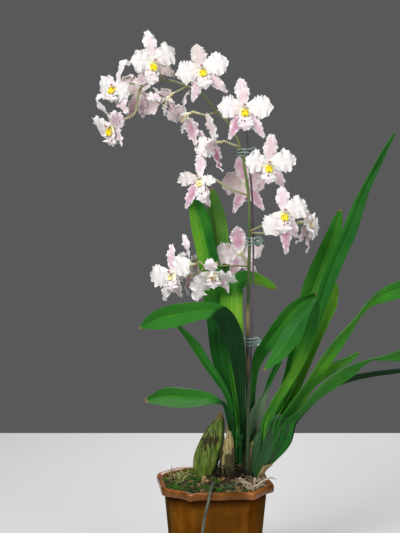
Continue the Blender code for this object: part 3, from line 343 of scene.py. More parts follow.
def smooth_path(points, steps):
    """A Catmull-Rom curve through the points, with a number of steps between each pair."""
    knots = [Vector(p) for p in points]
    ends = [2 * knots[0] - knots[1]] + knots + [2 * knots[-1] - knots[-2]]
    path = []
    for i in range(len(knots) - 1):
        a, b, c, d = ends[i:i + 4]
        for step in range(steps):
            t = step / steps
            path.append(0.5 * (2 * b + (c - a) * t + (2 * a - 5 * b + 4 * c - d) * t ** 2
                               + (3 * b - a - 3 * c + d) * t ** 3))
    path.append(knots[-1])
    return path


def smooth_values(values, steps):
    """The same smooth curve for single values."""
    return [p.x for p in smooth_path([(v, 0, 0) for v in values], steps)]


def smooth_rings(stations, steps):
    """The numbers of each station, smoothly between the stations too."""
    return list(zip(*[smooth_values(column, steps) for column in zip(*stations)]))


def at_share(values, share):
    """The value at a share of the way along evenly spaced values, eased between them."""
    step = min(max(share, 0.0), 1.0) * (len(values) - 1)
    low = min(int(step), len(values) - 2)
    t = step - low
    t = t * t * (3 - 2 * t) * 0.5 + t * 0.5
    return values[low] + (values[low + 1] - values[low]) * t


def smoothstep(first, last, x):
    """0 up to the first value and 1 from the last on; the last may be the lower one."""
    t = min(max((x - first) / (last - first), 0.0), 1.0)
    return t * t * (3 - 2 * t)


def bump(x, y, z):
    """A smooth random value about 0 at a place."""
    return noise.noise(Vector((x, y, z)))


def evenly(first, last, count):
    """A number of values from the first to the last."""
    return [first + (last - first) * i / (count - 1) for i in range(count)]


def turns(count):
    """The angles of a full turn in equal steps, from 0."""
    return [2 * math.pi * k / count for k in range(count)]


def direction(path, i):
    """Where a path leads to at one of its points."""
    return (path[min(i + 1, len(path) - 1)] - path[max(i - 1, 0)]).normalized()


def sheet(piece, rows, thickness, looks=(0, 0)):
    """A closed sheet over rows of points; looks holds the front's and the back's material number."""
    count = len(rows[0])
    front, back = [], []
    for i, row in enumerate(rows):
        before, after = rows[max(i - 1, 0)], rows[min(i + 1, len(rows) - 1)]
        for j, (place, marks) in enumerate(row):
            across = row[min(j + 1, count - 1)][0] - row[max(j - 1, 0)][0]
            normal = (after[j][0] - before[j][0]).cross(across).normalized()
            front.append((place + normal * thickness / 2, marks))
            back.append((place - normal * thickness / 2, marks))
    total = len(front)
    faces, kinds = [], []
    for i in range(len(rows) - 1):
        for j in range(count - 1):
            a = i * count + j
            faces.append((a, a + count, a + count + 1, a + 1))
            faces.append((a + total, a + 1 + total, a + count + 1 + total, a + count + total))
            kinds += looks
    border = list(range(count)) + [i * count + count - 1 for i in range(1, len(rows))]
    border += [total - 1 - j for j in range(1, count)] + [i * count for i in range(len(rows) - 2, 0, -1)]
    for a, b in zip(border, border[1:] + border[:1]):
        faces.append((a, b, b + total, a + total))
        kinds.append(looks[0])
    piece.add(front + back, faces, kinds)


def shell(piece, rings, look=0):
    """A closed solid through rings of the same number of points, capped at both ends."""
    count = len(rings[0])
    last = (len(rings) - 1) * count
    faces = []
    for i in range(len(rings) - 1):
        for k in range(count):
            a, b = i * count + k, i * count + (k + 1) % count
            faces.append((a, b, b + count, a + count))
    faces.append([count - 1 - k for k in range(count)])
    faces.append([last + k for k in range(count)])
    piece.add([point for ring in rings for point in ring], faces, look)


def at_step(value, i):
    """One of a list of values, or the value that holds everywhere."""
    return value[i] if isinstance(value, list) else value


def tube(piece, path, radii, look=0, sides=10, **marks):
    """A round rod along a path; the radius and each mark are one value, or a list along the path."""
    path = [Vector(p) for p in path]
    rings = []
    side = None
    for i, here in enumerate(path):
        along = direction(path, i)
        if side is None:
            side = along.cross(VIEW)
            if side.length < 0.1:
                side = along.cross(Vector((1, 0, 0)))
        side = (side - along * side.dot(along)).normalized()
        up = along.cross(side)
        own = {mark: at_step(value, i) for mark, value in marks.items()}
        rings.append([(here + (side * math.cos(angle) + up * math.sin(angle)) * at_step(radii, i), own)
                      for angle in turns(sides)])
    shell(piece, rings, look)


def on_ball(polar, angle):
    """A place on a ball of radius 1, by the angles from its top and round it."""
    return math.sin(polar) * math.cos(angle), math.sin(polar) * math.sin(angle), math.cos(polar)


def ball(piece, centre, axes, look=0, rings=8, sides=12, lumps=0.0, seed=0.0, **marks):
    """A closed rounded body with three half axes, with lumps of a share of its size."""
    points, faces = [], []
    for i in range(rings + 1):
        polar = math.pi * i / rings
        for angle in turns(sides) if 0 < i < rings else [0.0]:
            place = Vector(on_ball(polar, angle))
            size = 1.0 + lumps * noise.noise(place * 1.7 + Vector((seed, seed * 0.3, 0)))
            offset = axes[0] * place.x + axes[1] * place.y + axes[2] * place.z
            points.append((centre + offset * size, marks))
    bottom = len(points) - 1
    for k in range(sides):
        j = (k + 1) % sides
        faces.append((0, 1 + k, 1 + j))
        for i in range(rings - 2):
            a = 1 + i * sides
            faces.append((a + k, a + sides + k, a + sides + j, a + j))
        a = 1 + (rings - 2) * sides
        faces.append((a + k, bottom, a + j))
    piece.add(points, faces, look)


# Materials

class Look:
    """A procedural material: nodes that feed its shader, and colours laid one over the other."""

    def __init__(self, name, colour=(0.0, 0.0, 0.0), **constants):
        self.material = bpy.data.materials.new(name)
        self.material.use_nodes = True
        self.tree = self.material.node_tree
        self.shader = self.tree.nodes["Principled BSDF"]
        self.colour = (*colour, 1.0)
        for socket, value in constants.items():
            self.shader.inputs[socket.replace("_", " ")].default_value = value

    def node(self, kind, inputs=None, **settings):
        """Adds a node, with its inputs linked or set."""
        made = self.tree.nodes.new("ShaderNode" + kind)
        for key, value in settings.items():
            setattr(made, key, value)
        for key, value in (inputs or {}).items():
            if isinstance(value, bpy.types.NodeSocket):
                self.tree.links.new(value, made.inputs[key])
            else:
                made.inputs[key].default_value = value
        return made

    def feed(self, socket, value):
        """Links a value to the shader."""
        self.tree.links.new(value, self.shader.inputs[socket])

    def mark(self, name):
        """The values that the piece's points have for a mark."""
        return self.node("Attribute", attribute_name=name).outputs["Fac"]

    def maths(self, operation, a, b=0.0, clamp=False):
        return self.node("Math", {0: a, 1: b}, operation=operation, use_clamp=clamp).outputs[0]

    def times(self, a, b):
        return self.maths("MULTIPLY", a, b)

    def plus(self, a, b, clamp=False):
        return self.maths("ADD", a, b, clamp)

    def swing(self, grain, reach):
        """A grain that swings round zero instead of round a half, times a reach."""
        return self.times(self.maths("SUBTRACT", grain, 0.5), reach)

    def streaks(self, x, y):
        """Coordinates across and along a blade, stretched so that a grain makes streaks."""
        wide = self.times(self.mark("across"), x)
        long = self.times(self.mark("along"), y)
        return self.node("CombineXYZ", {0: wide, 1: long, 2: 0.0}).outputs[0]

    def grain(self, vector, scale, detail=3.0, roughness=0.5):
        """A procedural noise from 0 to 1."""
        inputs = {"Vector": vector, "Scale": scale, "Detail": detail, "Roughness": roughness}
        return self.node("TexNoise", inputs).outputs["Fac"]

    def clouds(self, scale, detail=3.0, roughness=0.5, upright=1.0):
        """A grain in the piece's own space, drawn out upright where that factor is small."""
        stretch = {0: self.node("TexCoord").outputs["Object"], 1: (1.0, 1.0, upright)}
        vector = self.node("VectorMath", stretch, operation="MULTIPLY").outputs[0]
        return self.grain(vector, scale, detail, roughness)

    def step(self, value, low, high):
        """0 at the low value, 1 at the high one, smooth between them."""
        inputs = {"Value": value, "From Min": low, "From Max": high}
        return self.node("MapRange", inputs, interpolation_type="SMOOTHSTEP").outputs["Result"]

    def ramp(self, fac, *stops):
        """Makes the colour run through stops, each a place and a colour."""
        made = self.node("ValToRGB", {"Fac": fac})
        elements = made.color_ramp.elements
        while len(elements) < len(stops):
            elements.new(1.0)
        for element, (at, colour) in zip(elements, stops):
            element.position = at
            element.color = (*colour, 1.0)
        self.colour = made.outputs["Color"]

    def paint(self, mask, colour, share=1.0):
        """Lays a colour over the one so far where the mask is, up to a share."""
        fac = mask if share == 1.0 else self.times(mask, share)
        inputs = {0: fac, 6: self.colour, 7: (*colour, 1.0)}
        self.colour = self.node("Mix", inputs, data_type="RGBA").outputs[2]

    def finish(self, height=None, distance=0.0, strength=1.0, rough=None):
        """The material, with its bump and the two roughnesses that a grain runs between."""
        self.feed("Base Color", self.colour)
        if height and distance:
            inputs = {"Height": height, "Distance": distance, "Strength": strength}
            self.feed("Normal", self.node("Bump", inputs).outputs["Normal"])
        if rough:
            inputs = {"Value": rough[0], "To Min": rough[1], "To Max": rough[2]}
            self.feed("Roughness", self.node("MapRange", inputs).outputs["Result"])
        return self.material


def petal_look(name, added_flush):
    """White with a pink-lilac flush inside white margins, maroon spots and a yellow throat."""
    look = Look(name, Roughness=0.42, Subsurface_Weight=0.12, Subsurface_Scale=0.002)
    veins = look.grain(look.streaks(7.0, 2.2), 1.0, 4.0, 0.6)
    flush = look.times(look.plus(look.mark("flush"), added_flush), look.mark("band"))
    look.ramp(look.times(flush, look.plus(veins, look.clouds(90.0))),
              (0.0, (0.85, 0.83, 0.805)), (0.35, (0.82, 0.70, 0.73)),
              (0.75, (0.72, 0.47, 0.58)), (1.0, (0.56, 0.22, 0.34)))
    # painted shade: greys the tepals that lie in shade
    look.paint(look.mark("grey"), (0.50, 0.45, 0.40), 0.5)
    look.paint(look.step(veins, 0.50, 0.75), (0.62, 0.52, 0.56), 0.34)
    look.paint(look.mark("glow"), (0.92, 0.84, 0.30))
    look.paint(look.step(look.mark("spot"), 0.25, 0.5), (0.14, 0.015, 0.05))
    return look.finish(veins, 0.0004, 0.5)


def crest_look():
    """Waxy yellow callus with orange-brown marks."""
    look = Look("crest_yellow_wax", (0.95, 0.78, 0.01), Roughness=0.3, Subsurface_Weight=0.1,
                Subsurface_Scale=0.002)
    clouds = look.clouds(420.0, 2.0)
    look.paint(look.mark("pale"), (0.90, 0.84, 0.45))
    look.paint(look.times(look.mark("height"), look.step(clouds, 0.45, 0.58)), (0.50, 0.14, 0.02))
    return look.finish(clouds, 0.0004)


LEAF_STOPS = ((0.0, (0.002, 0.012, 0.003)), (0.25, (0.006, 0.045, 0.008)), (0.45, (0.013, 0.11, 0.013)),
              (0.65, (0.035, 0.20, 0.016)), (0.82, (0.13, 0.34, 0.02)), (1.0, (0.32, 0.44, 0.07)))


def leaf_look(name, net=0.0, grey=0.0):
    """Strap leaf: long veins, a paler midrib, slow changes of tone, and where it is marked dusty grey or
    painted pale sheen, with a net of cross veins if it has one, and dry brown."""
    look = Look(name, Roughness=0.42, Specular_IOR_Level=0.10)
    veins = look.grain(look.streaks(16.0, 2.5), 1.0, 2.0, 0.55)
    clouds = look.clouds(26.0)
    midrib = look.step(look.maths("ABSOLUTE", look.mark("across")), 0.09, 0.01)
    # the tone mark carries each leaf's own green together with its painted light and shade
    tone = look.plus(look.plus(look.mark("tone"), look.swing(veins, 0.30)), look.swing(clouds, 0.28))
    look.ramp(look.plus(tone, look.times(midrib, 0.10), True), *LEAF_STOPS)
    if net:
        cells = look.node("TexVoronoi", {"Vector": look.streaks(9.0, 34.0), "Scale": 1.0},
                          feature="DISTANCE_TO_EDGE").outputs["Distance"]
        look.paint(look.times(look.step(cells, 0.09, 0.02), look.mark("dust")), (0.22, 0.30, 0.16), net)
    # dusty grey, and on the low leaf a painted pale sheen
    look.paint(look.times(look.mark("dust"), look.plus(look.times(veins, 0.5), grey)), (0.17, 0.24, 0.155))
    look.paint(look.step(look.mark("dry"), 0.3, 0.8), (0.24, 0.17, 0.06))
    return look.finish(veins, 0.0005, 0.6, rough=(clouds, 0.36, 0.50))


def stem_look():
    """Green stem that pales to cream-green stalks, with fine specks and brown scars."""
    look = Look("stem_skin", Roughness=0.4)
    specks = look.clouds(700.0, upright=0.3)
    look.ramp(look.mark("tone"), (0.0, (0.010, 0.040, 0.008)), (0.5, (0.10, 0.17, 0.045)),
              (1.0, (0.56, 0.52, 0.26)))
    look.paint(look.step(specks, 0.5, 0.7), (0.20, 0.10, 0.05), 0.45)
    look.paint(look.mark("dry"), (0.30, 0.19, 0.08))
    return look.finish(specks, 0.0002)


def glaze_look():
    """Brown-orange glaze, glossy on the lip and worn light on the edges, with painted shade under the lip,
    inside and on the sides.
    """
    look = Look("pot_glaze", Roughness=0.3)
    look.feed("Specular IOR Level", look.times(look.mark("gloss"), 0.30))
    clouds = look.clouds(38.0, 5.0, 0.6)
    runs = look.clouds(75.0, 4.0, 0.6, 0.22)
    look.ramp(look.times(look.plus(clouds, runs), 0.5), (0.3, (0.076, 0.023, 0.002)),
              (0.5, (0.132, 0.043, 0.003)), (0.7, (0.20, 0.076, 0.007)))
    # painted shade: the glaze is darkened to olive on the sides of the pot
    look.paint(look.mark("olive"), (0.050, 0.034, 0.010))
    look.paint(look.times(look.mark("edge"), look.step(clouds, 0.35, 0.6)), (0.37, 0.125, 0.026))
    look.paint(look.mark("shade"), (0.030, 0.008, 0.003))
    return look.finish(runs, 0.0006, 0.35, rough=(clouds, 0.15, 0.36))


def soil_look():
    """Dark damp bark and roots, with dry brown flecks."""
    look = Look("bark_ground", Roughness=0.85)
    clouds = look.clouds(160.0, 6.0, 0.7)
    look.ramp(clouds, (0.3, (0.010, 0.007, 0.004)), (0.5, (0.045, 0.028, 0.013)), (0.7, (0.14, 0.09, 0.04)))
    return look.finish(clouds, 0.002)


def bulb_look():
    """Ribbed yellow-green bulb skin with painted shade in its grooves, a brown-black patch and a dry tan
    tip.
    """
    look = Look("bulb_skin", Roughness=0.42, Specular_IOR_Level=0.15)
    threads = look.clouds(560.0, 4.0, 0.6, 0.06)
    look.ramp(look.clouds(120.0, 5.0, 0.65, 0.35), (0.3, (0.05, 0.10, 0.012)), (0.5, (0.13, 0.21, 0.030)),
              (0.75, (0.28, 0.33, 0.08)))
    # painted shade in the grooves between the ribs
    look.paint(look.mark("groove"), (0.030, 0.045, 0.008), 0.5)
    look.paint(look.step(threads, 0.48, 0.62), (0.028, 0.030, 0.008), 0.62)
    spoilt = look.plus(look.mark("patch"), look.swing(threads, 2.6))
    look.paint(look.step(spoilt, 0.45, 0.85), (0.022, 0.010, 0.005), 0.92)
    look.paint(look.mark("dry"), (0.36, 0.26, 0.10))
    return look.finish(threads, 0.0012)


def wire_look():
    """Dark purple-grey painted wire with small scratches."""
    look = Look("stake_paint", (0.115, 0.085, 0.105), Roughness=0.45, Metallic=0.3)
    scratches = look.clouds(900.0, upright=0.1)
    look.paint(look.step(scratches, 0.55, 0.7), (0.30, 0.25, 0.28))
    return look.finish(scratches, 0.0001)


def clouded_look(name, first, second, scale, relief=0.0, **constants):
    """A surface that varies softly between two colours."""
    look = Look(name, first, **constants)
    clouds = look.clouds(scale)
    look.paint(clouds, second)
    return look.finish(clouds, relief)


def speckled_look(name, dark, light, scale, roughness=0.8, upright=1.0):
    """A rough natural surface that varies between two colours, also from spot to spot by its tone."""
    look = Look(name, Roughness=roughness, Specular_IOR_Level=0.2)
    clouds = look.clouds(scale, 4.0, 0.65, upright)
    own = look.plus(look.plus(look.swing(clouds, 1.5), 0.3), look.times(look.mark("tone"), 0.5))
    look.ramp(own, (0.2, dark), (0.8, light))
    return look.finish(clouds, 0.0008)


# Name, dark and light colour, scale, roughness and upright factor of the speckled surfaces
SPECKLED = {
    "chips": ("bark_chip", (0.012, 0.007, 0.003), (0.42, 0.27, 0.12), 300.0),
    "moss_green": ("moss_green", (0.004, 0.020, 0.003), (0.06, 0.19, 0.015), 260.0),
    "moss_yellow": ("moss_yellow", (0.05, 0.06, 0.010), (0.48, 0.47, 0.18), 260.0),
    "moss_grey": ("moss_grey", (0.012, 0.022, 0.008), (0.10, 0.15, 0.06), 260.0, 0.85),
    "fibre": ("dry_fibre", (0.09, 0.040, 0.015), (0.66, 0.54, 0.38), 240.0, 0.75),
    "wet_root": ("wet_root", (0.006, 0.004, 0.003), (0.055, 0.036, 0.020), 240.0, 0.45),
    "husk": ("papery_husk", (0.020, 0.017, 0.006), (0.43, 0.345, 0.15), 620.0, 0.7, 0.06),
    "husk_dark": ("husk_damp", (0.006, 0.008, 0.003), (0.075, 0.065, 0.026), 560.0, 0.7, 0.08),
    "root": ("root_skin", (0.045, 0.055, 0.042), (0.15, 0.17, 0.13), 220.0, 0.75),
    "root_pale": ("root_skin_dry", (0.28, 0.22, 0.15), (0.62, 0.56, 0.44), 220.0, 0.75),
}
LOOKS = {
    "petal_face": petal_look("petal_face", 0.0),
    "petal_back": petal_look("petal_back", 0.25),
    "crest": crest_look(),
    "cap": clouded_look("column_cap_brown", (0.62, 0.30, 0.22), (0.30, 0.09, 0.05), 600.0, Roughness=0.35),
    "leaf": leaf_look("leaf_blade"),
    "leaf_grey": leaf_look("leaf_blade_grey", net=0.35, grey=0.45),
    "bulb_streaked": leaf_look("bulb_skin_veined", grey=-0.14),
    "bulb": bulb_look(),
    "stem": stem_look(),
    "glaze": glaze_look(),
    "soil": soil_look(),
    "wire": wire_look(),
    "clip": clouded_look("clip_clear", (0.12, 0.20, 0.17), (0.30, 0.42, 0.37), 500.0, 0.0001,
                         Roughness=0.18, Transmission_Weight=0.15),
    "floor": clouded_look("studio_floor", (0.66, 0.66, 0.66), (0.70, 0.70, 0.70), 2.0, Roughness=0.7),
    **{key: speckled_look(*own) for key, own in SPECKLED.items()},
}


# Blooms

# Width along each kind of tepal, at even steps from the base to the tip
WIDTHS = {
    "dorsal": (5.0, 9.0, 13.0, 16.0, 17.5, 17.0, 14.0, 11.5, 8.0),
    "petal": (6.0, 12.0, 19.0, 24.5, 27.5, 28.0, 26.0, 20.0, 10.0),
    "sepal": (5.0, 8.0, 11.5, 14.0, 14.5, 12.5, 9.0, 6.5, 4.0),
    "lip": (7.0, 12.0, 15.0, 15.5, 16.5, 19.0, 19.5, 16.0, 9.0),
}
# Height of the margin's waves, and how many there are along it
RUFFLE = {"dorsal": 1.5, "petal": 2.7, "sepal": 1.7, "lip": 2.4}
WAVES = {"dorsal": 2.6, "petal": 3.4, "sepal": 3.0, "lip": 3.4}
# How far the middle arches forward, the base stands forward and the tip curls back
RISE = {"dorsal": 2.0, "petal": 5.0, "sepal": 1.0, "lip": 9.0}
FORWARD = {"dorsal": 0.0, "petal": 1.6, "sepal": 0.0, "lip": 2.2}
RECURVE = {"dorsal": 2.5, "petal": 2.0, "sepal": 3.0, "lip": 3.0}
# Pink-lilac in the middle, and yellow in the throat
FLUSH = {"dorsal": 0.34, "petal": 0.10, "sepal": 0.55, "lip": 0.22}
GLOW = {"dorsal": 0.0, "petal": 0.10, "sepal": 0.10, "lip": 0.75}
# Maroon spots: how many, and the ranges of their places across and along and of their radius
SPOTS = {"lip": (4, (-0.6, 0.6), (0.42, 0.66), (1.0, 2.0)),
         "petal": (2, (-0.5, 0.5), (0.12, 0.22), (0.5, 0.9))}
# Length of a tepal in millimetres for which its spots are round
SPOTTED_LENGTH = 30

# What single tepals differ in: flush, painted grey shade where a tepal lies in shade, shares of the usual
# width and ruffle, twist and turn in degrees, or offsets to bend along
OWN = {
    "bloom_01": {"dorsal": dict(flush=0.30, ruffle=1.3), "sepal_r": dict(flush=0.35, grey=1.0)},
    "bloom_02": {"dorsal": dict(flush=0.42, wide=1.12, grey=1.0), "petal_l": dict(grey=0.4),
                 "sepal_l": dict(flush=0.6, grey=0.3), "sepal_r": dict(flush=0.6, grey=0.5)},
    "bloom_03": {"dorsal": dict(flush=0.1, wide=0.5, bend=(
        (4, -6, 7), (6, -10, 16), (9, -14, 24), (15, -16, 28), (20, -15, 25))), "sepal_r": dict(wide=1.3)},
    "bloom_04": {"dorsal": dict(flush=0.1, wide=0.45, bend=(
        (-2, -5, 8), (-6, -9, 14), (-12, -13, 20), (-16, -16, 27), (-14, -18, 33), (-8, -19, 35))),
                 "petal_r": dict(wide=0.75, flush=0.75, grey=0.5)},
    "bloom_05": {"petal_l": dict(flush=0.25, grey=1.0), "petal_r": dict(flush=0.25, grey=1.0),
                 "sepal_l": dict(flush=0.6, grey=0.8), "sepal_r": dict(flush=0.6, grey=0.8)},
    "bloom_06": {"dorsal": dict(grey=0.9), "petal_l": dict(wide=0.8), "petal_r": dict(wide=0.8, grey=0.5),
                 "sepal_r": dict(flush=0.8)},
    "bloom_07": {"petal_l": dict(flush=0.45, wide=0.85), "sepal_r": dict(turn=60, flush=0.5, wide=1.2),
                 "sepal_l": dict(turn=62, flush=0.55, wide=1.3, grey=0.3)},
    "bloom_08": {"dorsal": dict(grey=0.8, flush=0.3), "petal_r": dict(flush=0.25),
                 "sepal_l": dict(turn=-50, flush=0.3), "sepal_r": dict(flush=1.35, turn=55, wide=1.2)},
    "bloom_09": {"dorsal": dict(flush=0.55, grey=0.4), "petal_l": dict(flush=0.22, grey=0.25),
                 "sepal_l": dict(flush=0.85), "sepal_r": dict(flush=0.6), "lip": dict(flush=0.30)},
    "bloom_10": {"dorsal": dict(flush=0.5, grey=0.5)},
    "bloom_11": {"dorsal": dict(flush=0.6), "petal_l": dict(flush=0.2, grey=0.6),
                 "petal_r": dict(flush=0.2, grey=1.0)},
    "bloom_12": {"dorsal": dict(wide=0.85, flush=0.5), "petal_l": dict(wide=0.62, grey=0.8, ruffle=1.3),
                 "petal_r": dict(wide=0.45), "sepal_l": dict(flush=0.9), "lip": dict(wide=0.8)},
    "bloom_13": {"dorsal": dict(flush=0.45), "sepal_l": dict(flush=0.95)},
    "bloom_15": {"dorsal": dict(wide=1.2, flush=0.6), "petal_r": dict(grey=0.7)},
    "bloom_17": {"dorsal": dict(wide=0.7, flush=0.7, ruffle=1.3), "sepal_l": dict(flush=0.15, grey=0.6)},
    "bloom_18": {"dorsal": dict(wide=0.6, twist=120)},
}
# How pale the crest is, where it is; a pale crest is smaller too
PALE_CREST = {"bloom_06": 0.8, "bloom_07": 0.9, "bloom_08": 0.55, "bloom_12": 0.7, "bloom_14": 0.9,
              "bloom_16": 0.9, "bloom_17": 0.9}
PALE_CREST_SIZE = 0.7

BLOOM_LOOKS = ("petal_face", "petal_back", "crest", "cap")
FACE_LOOK, BACK_LOOK, CREST_LOOK, CAP_LOOK = range(4)


class Tepal:
    """The shape and marks of one tepal, in places t along it and u across it."""

    def __init__(self, name, part):
        self.kind = part.split("_")[0]
        self.own = OWN.get(name, {}).get(part, {})
        rng = random.Random(name + part)
        self.phases = [rng.uniform(0, 2 * math.pi) for _ in range(10)]
        count, *ranges = SPOTS.get(self.kind, (0,))
        self.spots = [[rng.uniform(*ends) for ends in ranges] for _ in range(count)]

    def midrib(self, tip, face, rows):
        """Points of the midrib from the bloom's centre, and the direction outwards."""
        tip = Vector(tip)
        outward = (tip - face * tip.dot(face)).normalized()
        control = outward * tip.length * 0.55 + face * RISE[self.kind]
        bend = self.own.get("bend")
        bent = smooth_path([(0, 0, 0), *bend], BEND_STEPS) if bend else None
        places = []
        for row in range(rows + 1):
            t = row / rows
            place = control * 2 * t * (1 - t) + tip * t * t
            if bent:
                step = t * (len(bent) - 1)
                low = min(int(step), len(bent) - 2)
                place = bent[low].lerp(bent[low + 1], step - low)
            places.append(place + face * FORWARD[self.kind] * (1 - t))
        return places, outward

    def margin(self, t, u):
        """Lift along the normal and the share that the half width grows by."""
        hand = 0 if u < 0 else 4
        wave = 2 * math.pi * WAVES[self.kind] * t + self.phases[hand]
        frill = wave * 2.1 + self.phases[hand + 1] + 1.1 * math.sin(wave * 0.5)
        fine = wave * 2.7 + self.phases[hand + 2]
        growth = smoothstep(0.08, 0.4, t) * RUFFLE[self.kind] * self.own.get("ruffle", 1.0)
        edge = abs(u) ** 2.2
        lift = growth * (edge * math.sin(wave) + 0.5 * abs(u) ** 4 * math.sin(frill))
        slow = wave * 0.8 + self.phases[8]
        lobes = 0.07 * math.sin(slow) + 0.06 * math.sin(frill) + 0.045 * math.sin(fine)
        return lift, lobes * edge * smoothstep(0.05, 0.35, t)

    def end(self, u, width):
        """How far the tip's edge runs out at a place across it, for a blunt, nicked end."""
        nicks = math.sin(u * 5.0 + self.phases[9]) * 0.8 + math.sin(u * 11.0 + self.phases[7]) * 0.5
        return nicks - 0.22 * width * abs(u) ** 2.5

    def marks(self, t, u, width):
        """Streak places, flush inside the white margins, throat glow, spots and painted grey shade."""
        band = (1 - abs(u) ** 2.4) * smoothstep(0.02, 0.3, t) * (1 - 0.6 * smoothstep(0.7, 1, t))
        spot = max((1 - math.hypot((u - x) * width / 2, (t - y) * SPOTTED_LENGTH) / radius
                    for x, y, radius in self.spots), default=0)
        return {"across": u * 0.5 + 0.5 + self.phases[6], "along": t + self.phases[6],
                "flush": self.own.get("flush", FLUSH[self.kind]), "band": band, "spot": max(0.0, spot),
                "glow": GLOW[self.kind] * smoothstep(0.30, 0.05, t), "grey": self.own.get("grey", 0.0)}

    def row(self, t, here, along, side, columns):
        """The points from one margin to the other."""
        turn = self.own.get("twist", 0.0) * t + self.own.get("turn", 0.0) * smoothstep(0.0, 0.3, t)
        turned = Matrix.Rotation(math.radians(turn), 3, along) @ side
        normal = along.cross(turned)
        width = at_share(WIDTHS[self.kind], t) * self.own.get("wide", 1.0)
        back = RECURVE[self.kind] * smoothstep(0.6, 1.0, t) ** 2
        row = []
        for u in evenly(-1, 1, columns + 1):
            lift, grown = self.margin(t, u)
            groove = -0.5 * math.exp(-(u * 7) ** 2) * smoothstep(0.05, 0.3, t)
            cup = -0.075 * width * u * u
            run = smoothstep(0.72, 1.0, t) * self.end(u, width)
            place = here + turned * (u * width / 2 * (1 + grown)) + along * run
            row.append((place + normal * (lift + cup + groove - back), self.marks(t, u, width)))
        return row


def tepal(piece, name, part, tip, face, centre):
    """One ruffled tepal, with its flush, throat glow and spots as marks."""
    made = Tepal(name, part)
    rows, columns = LIP_GRID if made.kind == "lip" else TEPAL_GRID
    places, outward = made.midrib(tip, face, rows)
    side = face.cross(outward)
    grid = []
    for i, place in enumerate(places):
        along = direction(places, i)
        side = (side - along * side.dot(along)).normalized()
        grid.append(made.row(i / rows, centre + place, along, side, columns))
    sheet(piece, grid, TEPAL_THICKNESS, (FACE_LOOK, BACK_LOOK))


def crest(piece, name, face, tip, centre, look):
    """The lobed callus on the throat of the lip: two keels in front and a warty cushion behind."""
    places, outward = Tepal(name, "lip").midrib(tip, face, CREST_ROWS)
    index = round(CREST_ROWS * CREST_SHARE)
    along = direction(places, index)
    side = face.cross(outward)
    normal = along.cross(side)
    size = PALE_CREST_SIZE if name in PALE_CREST else 1.0
    wide, long, high = [half * size for half in CREST_SIZE]
    pale = PALE_CREST.get(name, 0.0)
    middle = centre + places[index] + normal * (TEPAL_THICKNESS + high * 0.9)
    ball(piece, middle, (side * wide * 0.9, along * long * 0.9, normal * high), look, 12, 18, 0.45,
         centre.x, height=0.35, pale=pale)
    for hand in (-1, 1):
        keel = middle + side * hand * wide * 0.45 + along * long * 0.50 + normal * 0.5
        ball(piece, keel, (side * 1.5 * size, along * 2.8 * size, normal * 1.5), look, 8, 10, 0.25,
             centre.z + hand, height=0.05, pale=pale)
        wart = middle + side * hand * wide * 0.50 - along * long * 0.45 + normal * 0.6
        ball(piece, wart, (side * 1.7 * size, along * 1.6 * size, normal * 1.5), look, 8, 10, 0.35,
             centre.z - hand, height=0.95, pale=pale)


def column(piece, centre, face, up, side):
    """The white column with its two wings and the red-brown cap over the throat."""
    end = centre + face * COLUMN_LENGTH + up * 2.0
    path = smooth_path([centre + up, centre + face * 5 + up * 1.2, end], 4)
    tube(piece, path, smooth_values([2.3, 1.9, 2.1], 4), FACE_LOOK, 12, across=0.25, flush=0.25, band=0.25)
    for hand in (-1, 1):
        wing = path[-3] + side * hand * 1.9
        ball(piece, wing, (side * 1.4, up * 1.6, face * 2.0), FACE_LOOK, 6, 8, 0.3, hand,
             flush=0.3, band=0.5)
    ball(piece, path[-1] + face * 0.3 + up * 0.5, (side * 1.9, up * 1.6, face * 1.3), CAP_LOOK, 8, 10, 0.25)


def bloom(name, centre, face, *tips):
    """A whole bloom: five tepals, the lip, the column with its cap, and the end of its stalk."""
    piece = Piece(name + "_petals")
    centre = Vector(centre)
    face = Vector(face).normalized()
    up = Vector(tips[0])
    up = (up - face * up.dot(face)).normalized()
    side = face.cross(up)
    ball(piece, centre, (side * KNOB_RADIUS, up * KNOB_RADIUS, face * KNOB_RADIUS), FACE_LOOK,
         across=0.5, along=0.3, flush=0.1, band=0.4, glow=0.3)
    for part, tip in zip(PARTS, tips):
        tepal(piece, name, part, tip, face, centre)
    column(piece, centre, face, up, side)
    stub = smooth_path([centre - face, centre - face * STUB_LENGTH], 3)
    tube(piece, stub, [1.8, 1.6, 1.4, 1.4], BACK_LOOK, glow=0.8)
    crest_node = name.replace("bloom", "crest")
    if crest_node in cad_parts:
        callus = Piece(crest_node + "_callus")
        crest(callus, name, face, tips[-1], centre, 0)
        callus.finish(["crest"], "crest_yellow", crest_node)
    else:
        crest(piece, name, face, tips[-1], centre, CREST_LOOK)
    piece.finish(BLOOM_LOOKS, "petal_white", name)


# Leaves

# How light each leaf is, from dark green to yellow-green: its own green with painted light and shade in it
LEAF_TONES_WITH_LIGHT = {
    "leaf_low_left": 0.56, "leaf_thin_left": 0.50, "leaf_tall_left": 0.60, "leaf_young": 0.66,
    "leaf_tall_back": 0.71, "leaf_arch_left": 0.56, "leaf_fold_right": 0.72, "leaf_right_dark": 0.52,
    "leaf_right_grey": 0.46, "leaf_right_hanging": 0.46, "leaf_right_tallest": 0.45,
    "leaf_right_second": 0.60, "leaf_right_inner": 0.40, "leaf_right_light": 0.73, "leaf_right_upper": 0.67,
    "leaf_right_short": 0.69, "leaf_right_lower": 0.58, "leaf_right_behind": 0.10,
}
# Painted shade: how much darker the base of a leaf is, but not of the tallest
BASE_SHADE = 0.16
